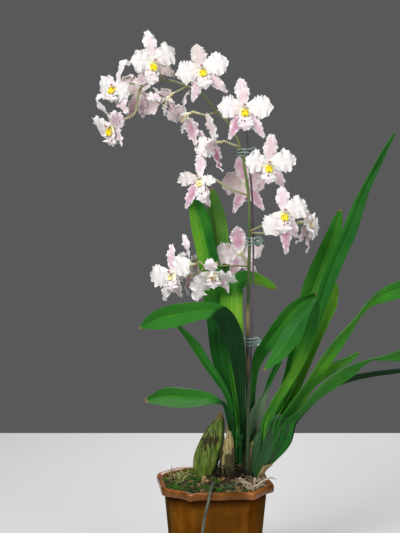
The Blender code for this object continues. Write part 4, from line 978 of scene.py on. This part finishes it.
# Stretches of single leaves with painted light and shade: how much lighter or darker, and from where to
# where that comes in or goes out, along the leaf from 0 to 1 or across it from -1 to 1
LIGHT_AND_SHADE_STRETCHES = {
    "leaf_low_left": [(-0.30, ("along", 0.64, 0.52))],
    "leaf_arch_left": [(-0.40, ("slanted", 0.662, 0.640))],
    "leaf_tall_left": [(-0.26, ("along", 0.75, 0.30)),
                       (0.15, ("across", 0.2, -0.4), ("along", 0.5, 0.75)),
                       (-0.25, ("along", 0.48, 0.54), ("along", 0.64, 0.58)),
                       (-0.22, ("across", 0.0, 0.4), ("along", 0.66, 0.72), ("along", 0.88, 0.80))],
    "leaf_tall_back": [(-0.15, ("along", 0.6, 0.2))],
    "leaf_thin_left": [(-0.08, ("along", 0.5, 0.2))],
    "leaf_right_tallest": [(0.16, ("along", 0.42, 0.30)), (0.12, ("across", -0.3, -0.7))],
    "leaf_right_upper": [(-0.12, ("along", 0.60, 0.80))],
    "leaf_right_hanging": [(0.26, ("along", 0.08, 0.14), ("along", 0.52, 0.40)),
                           (0.12, ("along", 0.84, 0.95))],
    "leaf_fold_right": [(0.09, ("across", 0.1, -0.2)), (-0.20, ("along", 0.6, 0.68)),
                        (0.24, ("along", 0.76, 0.84))],
}
# How far the slanted end of a stretch runs along the leaf from its middle to its margin
SLANT = 0.0255
# The side of the low leaf that has the painted pale sheen
LOW_LEAF_SIDE = -1
# Leaves of the lighter green
LIGHT_LEAVES = ("leaf_right_hanging", "leaf_right_light", "leaf_young")

# The broad sheaths at the feet of the leaves of each fan: where they come from, shares of the way to the
# leaf, and their width and roll
FAN_FEET = {"left": ((32, 2, 150), (0.55, 0.3), 12.0, 25.0),
            "right": ((60, 4, 148), (0.80, 0.42), 16.0, 25.0)}
# Leaves that start below the first height have no sheath, and those below the second are of the left fan
FAN_HEIGHTS = (150, 190)


def sheathed(stations):
    """The stations with a broad foot that comes out of the bulb or shoot below the leaf."""
    foot = stations[0]
    if foot[2] < FAN_HEIGHTS[0]:
        return stations
    root, shares, width, roll = FAN_FEET["left" if foot[2] < FAN_HEIGHTS[1] else "right"]
    low_x = root[0] + (foot[0] - (foot[0] + root[0]) / 2) * shares[1]
    low = (low_x, foot[1], root[2], width * 0.7, roll)
    middle = (root[0] + (foot[0] - root[0]) * shares[0], foot[1], (root[2] + foot[2]) / 2, width, roll)
    rest = [(x, y, z, max(w, width * (1 - 0.16 * k)), r + (roll - r) * max(0.0, 1 - k / 3))
            for k, (x, y, z, w, r) in enumerate(stations[:3])]
    return [low, middle, *rest, *stations[3:]]


def leaf_frames(stations):
    """Midrib points, directions, sides and widths along a leaf's smooth curve and out to its tip."""
    stations = smooth_rings(stations, LEAF_STEPS)
    path = [Vector(station[:3]) for station in stations]
    frames = []
    side = None
    for i, (*_, width, roll) in enumerate(stations):
        along = direction(path, i)
        if side is None:
            side = along.cross(VIEW)
        side = (side - along * side.dot(along)).normalized()
        frames.append((path[i], along, Matrix.Rotation(math.radians(roll), 3, along) @ side, width))
    here, along, turned, width = frames[-1]
    for share in LEAF_TIP:
        frames.append((here + along * width * share, along, turned, width * (1 - share ** 1.6) * 0.9))
    return frames


def leaf(name, stations):
    """A strap leaf with a channelled midrib, slightly waved margins and a pointed tip."""
    phase = random.Random(name).random() * 6
    frames = leaf_frames(sheathed(stations))
    rows = []
    for i, (here, along, side, width) in enumerate(frames):
        t = i / (len(frames) - 1)
        normal = along.cross(side)
        row = []
        for u in evenly(-1, 1, LEAF_COLUMNS + 1):
            channel = width * LEAF_FOLD * (0.5 - abs(u) ** 0.85)
            wave = width * LEAF_WAVE * abs(u) ** 2 * math.sin(t * LEAF_WAVES + phase + (1.3 if u > 0 else 0))
            place = here + side * u * width / 2 + normal * (channel + wave)
            row.append((place, leaf_marks(name, t, u, phase)))
        rows.append(row)
    piece = Piece(name + "_blade")
    sheet(piece, rows, LEAF_THICKNESS)
    look = "leaf_grey" if name == "leaf_right_grey" else "leaf"
    piece.finish([look], "leaf_light_green" if name in LIGHT_LEAVES else "leaf_green", name)


def leaf_marks(name, t, u, phase):
    """Streak places, lightness with painted shading, dust and painted sheen, and the dry tip at a place on a
    leaf.
    """
    return {"across": u, "along": t * 2 + phase, "tone": leaf_tone_and_light(name, t, u),
            "dust": leaf_dust_and_sheen(name, t, u), "dry": smoothstep(0.975, 1.0, t)}


def leaf_dust_and_sheen(name, t, u):
    """Dust on the grey leaf up to its narrow end; painted pale sheen on one side of the low leaf's outer
    end.
    """
    if name == "leaf_right_grey":
        return smoothstep(0.64, 0.48, t)
    if name == "leaf_low_left":
        return 0.75 * smoothstep(0.0, 0.3, LOW_LEAF_SIDE * u) * smoothstep(0.60, 0.70, t)
    return 0.6 if name == "leaf_tall_back" else 0.0


def leaf_tone_and_light(name, t, u):
    """A leaf's lightness: its own green, with painted shade at its base and painted light and shade in its
    stretches.
    """
    shade = 0.0 if name == "leaf_right_tallest" else BASE_SHADE
    tone = LEAF_TONES_WITH_LIGHT[name] - shade * smoothstep(0.35, 0.08, t)
    where = {"along": t, "across": u, "slanted": t + SLANT * u}
    for amount, *limits in LIGHT_AND_SHADE_STRETCHES.get(name, []):
        for way, first, last in limits:
            amount *= smoothstep(first, last, where[way])
        tone += amount
    return max(0.0, tone)


# Bulbs and shoot

def bulb(name, stations, look, slot, ribs, depth, tone=0.5, dust=0.0,
         foot=(0, 1), tip=(2, 3), patch=(0, 1, 0)):
    """A ribbed body; foot holds the heights between which it comes out of the dark, tip the shares of its
    height between which it dries, and patch the height, half height and side of a spoilt place."""
    height, reach, turn = patch
    rings = smooth_rings(stations, BULB_STEPS)
    skin = []
    for i, (x, y, z, half_width, half_depth) in enumerate(rings):
        t = i / (len(rings) - 1)
        ring = []
        for k, angle in enumerate(turns(BULB_SIDES)):
            right, back = math.cos(angle), math.sin(angle)
            wander = 0.35 * bump(right * 2, back * 2, z * 0.03)
            rib = math.cos(ribs * angle + wander * 3)
            size = 1 + depth * rib + 0.02 * bump(x, z * 0.15, k * 0.7)
            # painted shade: darker in the grooves between the ribs and lighter on the ridges
            marks = {"groove": max(0.0, -rib), "tone": tone * (1 + 0.25 * rib) * smoothstep(*foot, z),
                     "dry": smoothstep(*tip, t), "across": right * 0.9 + 1.2, "along": t, "dust": dust,
                     "patch": max(0.0, 1 - abs(z - height) / reach) * max(0.0, math.cos(angle - turn))}
            ring.append((Vector((x + half_width * size * right, y + half_depth * size * back, z)), marks))
        skin.append(ring)
    piece = Piece(name + "_skin")
    shell(piece, skin)
    piece.finish([look], slot, name)


SHOOT_TOP = ((32, 2, 189, 7.5, 6.5), (32, 2, 196, 5, 4))
BULB_RIGHT_TOP = ((84, 4, 206, 13, 5.5), (86, 4, 212, 8, 4))


def bulbs():
    """The three bulbs and the left shoot."""
    bulb("bulb_left", BULB_LEFT, "bulb", "bulb_green", 7, 0.035, tip=(0.82, 0.93),
         patch=(180, 26, math.radians(-104)))
    bulb("bulb_dry", BULB_DRY, "husk", "dry_husk", 5, 0.05, 0.60, foot=(140, 176))
    bulb("shoot_left", SHOOT_LEFT + SHOOT_TOP, "leaf", "leaf_green", 4, 0.04, 0.22)
    bulb("bulb_right", BULB_RIGHT + BULB_RIGHT_TOP, "bulb_streaked", "leaf_green", 5, 0.02, 0.25, dust=1.0)


# Flower spike

# Height and half length of the dry scars low on the stem
STEM_SCARS = ((341, 5), (328, 9), (279, 7))


def stalk_path(name):
    """The path of a flower stalk, from the stem or branch to the back of its bloom."""
    centre, face = BLOOMS[name][:2]
    face = Vector(face).normalized()
    end = Vector(centre) - face * (STUB_LENGTH + 0.2)
    return smooth_path([*PEDICELS[name], end - face * 4.0, end], 6)


def flower_spike():
    """Stem with its dry scars, the side branch, and the pale flower stalks with their bracts."""
    piece = Piece("flower_spike_stem")
    stem = smooth_path([s[:3] for s in STEM], 5)
    dry = [max(0.75 * smoothstep(1.0, 0.4, abs(p.z - z) / reach) for z, reach in STEM_SCARS) for p in stem]
    tube(piece, stem, smooth_values([s[3] for s in STEM], 5), 0, 14,
         tone=[0.55 * smoothstep(320, 540, p.z) for p in stem], dry=dry)
    branch = smooth_path(BRANCH, 6)
    tube(piece, branch, BRANCH_RADIUS, tone=evenly(0.4, 0.7, len(branch)), dry=0.1)
    for name in BLOOMS:
        path = stalk_path(name)
        shares = evenly(0.0, 1.0, len(path))
        radii = [PEDICEL_RADIUS * (1.3 - 0.2 * math.sin(math.pi * min(1, s * 1.2)) + 0.5 * s ** 2)
                 for s in shares]
        tube(piece, path, radii, tone=[0.65 + 0.35 * s for s in shares],
             dry=[0.5 * smoothstep(0.12, 0, s) for s in shares])
        bract(piece, path[0], direction(path, 1))
    piece.finish(["stem"], "stem_green", "flower_spike")


def bract(piece, root, out):
    """The small dry scale under a flower stalk."""
    side = out.cross(Vector((0, 1, 0.2))).normalized()
    up = side.cross(out)
    centre = root + out * 2.6 - up * 0.6
    ball(piece, centre, (side * 1.3, out * 3.0, up * 1.1), 0, 6, 8, 0.2, root.x, tone=0.5, dry=0.75)


# Stake and clips

def at_height(points, z):
    """The point of a rising path at a height."""
    for low, high in zip(points, points[1:]):
        if low[2] <= z <= high[2]:
            return Vector(low[:3]).lerp(Vector(high[:3]), (z - low[2]) / (high[2] - low[2]))
    raise ValueError("the path does not reach this height")


def stake():
    """The thin painted rod that holds the flower spike."""
    piece = Piece("stake_wire")
    tube(piece, smooth_path(STAKE, 10), STAKE_RADIUS, sides=12)
    piece.finish(["wire"], "stake_steel", "stake")


def clip(name, z):
    """A spring clip: a flat coil of wire with a bar across it and three prongs round the stem."""
    piece = Piece(name + "_spring")
    stem = at_height([p[:3] for p in STEM], z)
    held = at_height(smooth_path(STAKE, 2), z)
    hub = Vector((held.x + CLIP_REACH, held.y - CLIP_FORWARD, z))
    coil = []
    for i in range(CLIP_COIL_STEPS + 1):
        turn = 2 * math.pi * i / CLIP_TURN_STEPS
        share = i / CLIP_COIL_STEPS
        radius = CLIP_COIL_RADIUS - CLIP_COIL_INWARD * share
        coil.append(hub + Vector((math.cos(turn) * radius, CLIP_COIL_DEPTH * (share - 0.5),
                                  math.sin(turn) * radius)))
    tube(piece, coil, CLIP_WIRE_RADIUS + 0.1, sides=8)
    front = min(stem.y, held.y) - CLIP_FRONT
    middle = (front + max(stem.y, held.y) + CLIP_BACK) / 2
    left = min(stem.x, held.x) - CLIP_LEFT
    for rise in CLIP_PRONGS:
        prong = [(hub.x + 1.0, hub.y, z + rise * 0.5), (hub.x - 4.0, front + 1.4, z + rise),
                 (stem.x, front + 0.4, z + rise), (left + 0.6, middle - 1.0, z + rise),
                 (left + 1.6, middle + 1.5, z + rise)]
        tube(piece, smooth_path(prong, 8), CLIP_WIRE_RADIUS, sides=8)
    bar = smooth_path([(hub.x - CLIP_BAR_HALF, hub.y, z), (hub.x + CLIP_BAR_HALF, hub.y, z)], 3)
    tube(piece, bar, CLIP_BAR_RADIUS, sides=8)
    piece.finish(["clip"], "clip_plastic", name)


ROOTS = {"root_over_rim": (ROOT_OVER_RIM, 1.2, 1.8, "root"),
         "root_right": (ROOT_RIGHT, 1.3, 0.8, "root_pale")}


def root(name, points, first, last, look):
    """A root with an uneven skin, between its first and last radius."""
    piece = Piece(name + "_skin")
    path = smooth_path(points, 10)
    radii = [r * (1 + 0.12 * noise.noise(p * 0.2)) for r, p in zip(evenly(first, last, len(path)), path)]
    tube(piece, path, radii, 0, 12, tone=[0.5 + 0.5 * noise.noise(p * 0.08) for p in path])
    piece.finish([look], "root_skin", name)


# Pot and growing medium

def octagon(radius, points, rounding, wave=0.0):
    """The pot's outline as evenly turned points, with rounded corners, bowed sides and a slow wave."""
    corners = []
    angle = POT_TURN - POT_LONG_ARC / 2
    for side in range(POT_SIDES):
        corners.append(Vector((math.sin(math.radians(angle)), -math.cos(math.radians(angle)))) * radius)
        angle += POT_LONG_ARC if side % 2 == 0 else 90.0 - POT_LONG_ARC
    outline = []
    for side, (here, there) in enumerate(zip(corners, corners[1:] + corners[:1])):
        outward = (here + there).normalized()
        for k in range(points):
            t = k / points
            slow = math.cos(2 * math.pi * t) - 0.5 * math.cos(6 * math.pi * t + side)
            bowed = wave * (0.6 * math.sin(math.pi * t) + 0.55 * slow)
            outline.append(here.lerp(there, t) + outward * bowed)
    near = range(-rounding, rounding + 1)
    return [sum((outline[(i + k) % len(outline)] for k in near), Vector((0, 0))) / len(near)
            for i in range(len(outline))]


def pot_inner_radius(z):
    """How far the corners of the inner wall are from the pot's middle at a height."""
    return POT_BASE_RADIUS + (POT_TOP_RADIUS - POT_BASE_RADIUS) / POT_NECK * z - POT_WALL


def corner_share(index):
    """1 at a corner of the outline, 0 in the middle of a side."""
    t = (index % POT_POINTS) / POT_POINTS
    return max(0.0, 1 - min(t, 1 - t) * 7)


def side_shade_share(index):
    """Painted shade that darkens the glaze to olive: most on the outer half of the sides left and right."""
    side, t = divmod(index / POT_POINTS, 1)
    return {1: 0.75 * smoothstep(0.3, 1.0, t), 6: 0.75, 7: 0.35 * smoothstep(0.5, 0.0, t)}.get(side, 0.2)


def pot_wall():
    """Rings up the outside: radius, height, rounding, wave, worn edge and shade."""
    wall = [(POT_BASE_RADIUS - 1.5, 0.0, 3, 0, 0, 0), (POT_BASE_RADIUS, POT_FOOT, 3, 0, 0.2, 0)]
    rise = POT_NECK - POT_WALL_END - POT_FOOT
    for step in range(1, POT_RINGS + 1):
        share = step / POT_RINGS
        radius = POT_BASE_RADIUS + (POT_TOP_RADIUS - POT_BASE_RADIUS) * share
        shade = 0.8 * smoothstep(0.88, 1.0, share)
        wall.append((radius, POT_FOOT + rise * share, 3, 0, 0.0, shade))
    return wall


def pot_lip():
    """Rings out under the lip, over it and down the inside, with the same values."""
    top, neck, inner = POT_HEIGHT, POT_NECK, pot_inner_radius
    return [
        (POT_TOP_RADIUS + 0.4, neck - 1.6, 3, 0, 0, 0.8), (POT_TOP_RADIUS + 2.0, neck - 0.6, 3, 0.2, 0, 0.8),
        (LIP_RADIUS - 7.0, neck + 0.0, 3, 0.6, 0, 0.6), (LIP_RADIUS - 3.4, neck + 0.4, 3, 0.9, 0.1, 0.35),
        (LIP_RADIUS - 1.2, neck + 1.4, 2, 1.0, 0.5, 0), (LIP_RADIUS - 0.4, neck + 3.0, 2, 1.0, 0.2, 0),
        (LIP_RADIUS - 0.3, top - 4.0, 2, 1.0, 0.15, 0), (LIP_RADIUS - 0.4, top - 2.6, 2, 1.0, 0.4, 0),
        (LIP_RADIUS - 1.1, top - 1.1, 2, 1.0, 0.9, 0), (LIP_RADIUS - 2.4, top - 0.2, 2, 1.0, 0.8, 0),
        (LIP_RADIUS - 4.4, top - 0.3, 3, 0.8, 0.35, 0), (LIP_RADIUS - 7.0, top - 1.2, 3, 0.5, 0.1, 0),
        (LIP_RADIUS - 10.0, top - 3.6, 3, 0.2, 0, 0.2), (inner(neck) + 3.0, neck + 2.0, 3, 0, 0, 0.4),
        (inner(neck - 4.0), neck - 4.0, 3, 0, 0, 0.6), (inner(60), 60.0, 3, 0, 0, 0.8),
        (inner(POT_FLOOR), POT_FLOOR, 3, 0, 0, 0.8),
    ]


def pot():
    """Eight-sided tapered pot with soft edges and a thick, wavy, flared lip."""
    rings = []
    for radius, z, rounding, wave, edge, shade in pot_wall() + pot_lip():
        in_lip = z > POT_NECK
        ring = []
        for i, p in enumerate(octagon(radius, POT_POINTS, rounding, wave)):
            corner = corner_share(i)
            droop = wave * (0.55 * math.sin(i * 0.085 + 1.0) + 0.45 * math.sin(i * 0.23) - 0.9 * corner)
            height = min(z + droop * (0.4 if z > POT_HEIGHT - 1 else 0.9), POT_HEIGHT + 0.2)
            # the edge is the glaze worn light; the shade under the lip and the olive on the sides are
            # painted shade
            marks = {"edge": min(1.0, edge + 0.5 * corner * (1 if wave or edge else 0.3)), "shade": shade,
                     "gloss": 1.0 if in_lip else 0.0, "olive": 0.0 if in_lip else side_shade_share(i)}
            ring.append((Vector((p.x, p.y, max(height, 0.0))), marks))
        rings.append(ring)
    piece = Piece("pot_glazed")
    shell(piece, rings)
    piece.finish(["glaze"], "glazed_pot", "pot")


def medium_height(x, y):
    """A mound with lumps, and with the finer relief of chips and roots on it."""
    away = min(1.0, math.hypot(x, y) / MEDIUM_RADIUS)
    lumps = BARK_RELIEF * bump(x * BARK_GRAIN, y * BARK_GRAIN, BARK_SEED)
    fine = sum(height * bump(x * grain, y * grain, seed) for height, grain, seed in FINE_RELIEF)
    return MEDIUM_EDGE_HEIGHT + (MEDIUM_MOUND + lumps) * (1.0 - away ** 2) + fine * (1 - away ** 6)


def ground():
    """Damp bark surface that fills the pot."""
    sides = ((pot_inner_radius(POT_FLOOR) - 0.4, POT_FLOOR + 0.3),
             (pot_inner_radius(POT_NECK - 4.0) - 0.4, POT_NECK - 4.0),
             (pot_inner_radius(POT_NECK) + 2.4, POT_NECK + 2.0))
    rings = [[(Vector((p.x, p.y, z)), {}) for p in octagon(radius, MEDIUM_POINTS, 2)] for radius, z in sides]
    for step in range(MEDIUM_RINGS):
        outline = octagon((MEDIUM_RADIUS - 0.3) * (1.0 - step / MEDIUM_RINGS), MEDIUM_POINTS, 2)
        rings.append([(Vector((p.x, p.y, medium_height(p.x, p.y))), {}) for p in outline])
    piece = Piece("bark_ground_surface")
    shell(piece, rings)
    piece.finish(["soil"], "bark_and_moss", "medium")


def chip(piece, centre, size, turn, tilt, seed, tone):
    """One broken bark chip: a rounded block with a rough surface."""
    turned = Matrix.Rotation(turn, 3, "Z") @ Matrix.Rotation(tilt, 3, "X")
    rings, sides = 8, 12
    points, faces = [], []
    for i in range(rings + 1):
        polar = math.pi * i / rings
        for angle in turns(sides):
            block = Vector([math.copysign(abs(c) ** 0.4, c) for c in on_ball(polar, angle)])
            block *= 1 + 0.28 * noise.noise(block * 1.3 + Vector((seed, 0, 0)))
            points.append((Vector(centre) + turned @ (block * Vector(size)), {"tone": tone}))
    for i in range(rings):
        for k in range(sides):
            a, b = i * sides + k, i * sides + (k + 1) % sides
            faces.append((a, a + sides, b + sides, b))
    piece.add(points, faces)


# How many places on the bark, their nearest and farthest distance, and their first and last direction
CHIP_PLACES = (170, 6, 63)
FIBRE_PLACES = (130, 36, 64, 40, 108)
WET_ROOT_PLACES = (64, 6, 56, -45, 62)
TANGLED_ROOTS = 150
# Place, size, turn, tilt, seed and tone of the pale chips that stand up in front
STANDING_CHIPS = (((-13.5, -30, 135), (2.6, 1.8, 5.2), 0.5, 0.25, 77, 1.1),
                  ((-10.5, -30.5, 133), (3.6, 1.6, 2.6), -0.3, -0.2, 31, 0.9))


def scattered(rng, count, inner, outer, first=0.0, last=360.0):
    """Places on the bark between two distances and two directions; 0 is towards the viewer, 90 the right."""
    places = []
    for _ in range(count):
        angle = math.radians(rng.uniform(first, last))
        away = math.sqrt(rng.uniform(inner ** 2, outer ** 2))
        x, y = away * math.sin(angle), -away * math.cos(angle)
        places.append(Vector((x, y, medium_height(x, y))))
    return places


def bark_chips():
    """Dark and tan bark chips all over the surface, and two pale ones that stand up in front."""
    rng = random.Random("chips")
    piece = Piece("bark_chips_loose")
    for i, place in enumerate(scattered(rng, *CHIP_PLACES)):
        size = (rng.uniform(2.4, 5.2), rng.uniform(1.6, 3.2), rng.uniform(0.8, 1.7))
        tone = rng.choice((0.0, 0.05, 0.1, 0.2, 0.45))
        chip(piece, place + Vector((0, 0, 0.4)), size, rng.uniform(0, 3.1), rng.uniform(-0.4, 0.4), i, tone)
    for standing in STANDING_CHIPS:
        chip(piece, *standing)
    piece.finish(["chips"], "bark_and_moss")


# Moss by piece: look, count, nearest and farthest distance and the two directions of its places, then
# height, spread, shoots a place and the name of its random draws
MOSS = {
    "moss_green_tufts": ("moss_green", (80, 18, 63, -110, 12), 4.8, 2.2, 12, "green"),
    "moss_yellow_tufts": ("moss_yellow", (16, 30, 58, -100, -60), 14.0, 2.6, 3, "yellow"),
    "moss_grey_tufts": ("moss_grey", (40, 30, 62, 5, 42), 3.0, 2.4, 12, "grey"),
    "moss_back_tufts": ("moss_green", (46, 18, 62, 100, 250), 3.8, 2.4, 10, "back"),
}


def moss(name, look, places, height, spread, per_place, seed):
    """Tufts of short fine moss shoots."""
    rng = random.Random(seed)
    piece = Piece(name)
    for place in places:
        tone = rng.uniform(0.1, 1.0)
        for _ in range(per_place):
            lean = Vector((rng.gauss(0, 0.55), rng.gauss(0, 0.55), 1.0))
            start = place + Vector((rng.gauss(0, spread), rng.gauss(0, spread), -0.8))
            tall = height * rng.uniform(0.5, 1.2)
            middle = start + lean * tall * 0.6
            end = middle + Vector((lean.x * 0.8, lean.y * 0.8, 0.25)) * tall * 0.5
            own = min(1.0, max(0.0, tone + rng.uniform(-0.25, 0.25)))
            tube(piece, [start, middle, end], [0.75, 0.6, 0.15], 0, 4, tone=[own * 0.5, own, own])
    piece.finish([look], "bark_and_moss")


def fibres():
    """Tan fibres and thin pale roots at the right of the bark."""
    rng = random.Random("fibres")
    piece = Piece("dry_fibres")
    for place in scattered(rng, *FIBRE_PLACES):
        turn = rng.uniform(0, 6.28)
        reach = rng.uniform(5, 15)
        out = Vector((math.cos(turn), math.sin(turn), 0))
        lift = Vector((rng.uniform(-2, 2), rng.uniform(-2, 2), rng.uniform(0.8, 7.0)))
        path = [place - out * reach * 0.5 + Vector((0, 0, 0.4)), place + lift,
                place + out * reach * 0.5 + Vector((0, 0, rng.uniform(0.2, 3.0)))]
        tone = rng.uniform(0.1, 1.2)
        tube(piece, smooth_path(path, 5), rng.uniform(0.2, 0.6), 0, 5, tone=tone)
    piece.finish(["fibre"], "bark_and_moss")


def wet_roots():
    """Dark wet roots that wind over the bark between the bulbs."""
    rng = random.Random("roots")
    piece = Piece("dark_wet_roots")
    for place in scattered(rng, *WET_ROOT_PLACES):
        turn = rng.uniform(-0.9, 0.9) + (0 if rng.random() < 0.5 else math.pi)
        out = Vector((math.cos(turn), math.sin(turn), 0))
        points = []
        for k in range(5):
            spot = place + out * (k - 2) * rng.uniform(2.8, 4.4)
            spot += Vector((rng.uniform(-2, 2), rng.uniform(-2, 2), 0))
            spot.z = medium_height(spot.x, spot.y) + (0.9 if 0 < k < 4 else -0.6)
            points.append(spot)
        thick = rng.uniform(0.7, 1.6)
        tube(piece, smooth_path(points, 5), thick, 0, 8, tone=rng.uniform(0.0, 1.0))
    piece.finish(["wet_root"], "bark_and_moss")


def root_tangle():
    """Dark dead roots that stand up between the feet of the bulbs."""
    rng = random.Random("tangle")
    piece = Piece("dark_root_tangle")
    for _ in range(TANGLED_ROOTS):
        x = rng.uniform(3, 47)
        start = Vector((x, rng.uniform(-19, 12), 0))
        start.z = medium_height(start.x, start.y) - 1
        tall = rng.uniform(5, 30) * (1 - 0.5 * abs(x - 24) / 25)
        bow = Vector((rng.uniform(-5, 5), rng.uniform(-3, 3), tall * rng.uniform(0.5, 0.9)))
        end = start + Vector((rng.uniform(-7, 7), rng.uniform(-4, 4), tall * rng.uniform(0.5, 1.0)))
        tone = rng.choice((0.0, 0.1, 0.2, 0.4, 1.0))
        tube(piece, smooth_path([start, start + bow, end], 5), rng.uniform(0.35, 0.8), 0, 6, tone=tone)
    piece.finish(["wet_root"], "bark_and_moss")


# Papery strips round the bulbs: stations, first and last angle, lowest and highest place, distance off the
# skin, seed of the torn edge, and 1 for a damp one
HUSKS = (
    (BULB_DRY, 170, 290, 128, 184, 0.7, 1.0, 0), (BULB_DRY, 245, 330, 124, 164, 1.2, 2.0, 1),
    (BULB_DRY, 140, 214, 122, 169, 2.4, 11.0, 1), (BULB_DRY, 300, 400, 124, 172, 0.9, 8.0, 1),
    (SHOOT_LEFT, 190, 330, 122, 150, 0.8, 3.0, 1), (SHOOT_LEFT, 300, 410, 122, 163, 1.5, 9.0, 1),
    (BULB_RIGHT, 165, 225, 124, 176, 0.7, 5.0, 0), (BULB_RIGHT, 285, 385, 122, 148, 0.8, 6.0, 0),
)


def husk(piece, stations, first, last, low, high, off, seed, look):
    """A torn papery strip that wraps part of a bulb, a little off its skin, darker towards the bark."""
    rings = smooth_rings(stations, HUSK_STEPS)
    rows = []
    for t in evenly(0, 1, HUSK_ROWS + 1):
        z = low + (high - low) * t
        x, y, half_width, half_depth = ring_at(rings, z)
        row = []
        for share in evenly(0, 1, HUSK_COLUMNS + 1):
            angle = math.radians(first + (last - first) * share)
            ragged = 2.2 * bump(share * 5, seed, 0) * smoothstep(0.5, 1.0, t)
            lift = off + 0.5 * bump(share * 4, z * 0.08, seed) + 0.8 * smoothstep(0.8, 1.0, t)
            right, back = (half_width + lift) * math.cos(angle), (half_depth + lift) * math.sin(angle)
            place = Vector((x + right, y + back, z + ragged * 2))
            tone = 0.6 + 0.6 * bump(share * 6, z * 0.05, seed + 4)
            row.append((place, {"tone": tone * smoothstep(low - 4, low + (high - low) * 0.75, z)}))
        rows.append(row)
    sheet(piece, rows, HUSK_THICKNESS, (look, look))


def ring_at(rings, z):
    """Centre and half sizes of a bulb at a height."""
    for low, high in zip(rings, rings[1:]):
        if low[2] <= z <= high[2]:
            t = (z - low[2]) / (high[2] - low[2])
            return [low[k] + (high[k] - low[k]) * t for k in (0, 1, 3, 4)]
    nearest = rings[0] if z < rings[0][2] else rings[-1]
    return [nearest[k] for k in (0, 1, 3, 4)]


def husks():
    """Papery strips round the feet of the bulbs and the shoot."""
    piece = Piece("papery_husks")
    for strip in HUSKS:
        husk(piece, *strip)
    piece.finish(["husk", "husk_dark"], "dry_husk")


# Stage

def stand(name, data, place=(0, 0, 0), target=None):
    """Puts a mesh, lamp or camera in its place, turned to look at the target."""
    made = bpy.data.objects.new(name, data)
    made.location = place
    if target:
        made.rotation_euler = (Vector(target) - Vector(place)).to_track_quat("-Z", "Y").to_euler()
    bpy.context.collection.objects.link(made)
    return made


def stage():
    """A pale floor, soft light and the camera."""
    world = bpy.data.worlds.new("studio")
    world.use_nodes = True
    world.node_tree.nodes["Background"].inputs["Color"].default_value = (*WORLD_GREY, 1.0)
    bpy.context.scene.world = world
    for name, (place, target, size, power) in LAMPS.items():
        lamp = bpy.data.lights.new(name, "AREA")
        lamp.size = size
        lamp.energy = power
        stand(name, lamp, place, target)
    camera = bpy.data.cameras.new("camera")
    camera.lens = CAMERA_LENS
    camera.sensor_width = 36.0
    bpy.context.scene.camera = stand("camera", camera, CAMERA_PLACE, CAMERA_TARGET)
    bpy.context.scene.view_settings.view_transform = "Standard"
    mesh = bpy.data.meshes.new("floor")
    half = FLOOR_SIZE / 2
    corners = [(-half, -half, 0), (half, -half, 0), (half, half, 0), (-half, half, 0)]
    mesh.from_pydata(corners, [], [range(4)])
    mesh.materials.append(LOOKS["floor"])
    stand("floor", mesh)


def main():
    """Builds the stage and every piece."""
    stage()
    pot()
    ground()
    bark_chips()
    rng = random.Random("moss")
    for name, (look, where, *own) in MOSS.items():
        moss(name, look, scattered(rng, *where), *own)
    fibres()
    wet_roots()
    bulbs()
    husks()
    root_tangle()
    for name, stations in {**LEAVES_LEFT, **LEAVES_RIGHT}.items():
        leaf(name, stations)
    flower_spike()
    for name, own in BLOOMS.items():
        bloom(name, *own)
    stake()
    for name, z in CLIP_HEIGHTS.items():
        clip(name, z)
    for name, own in ROOTS.items():
        root(name, *own)


main()
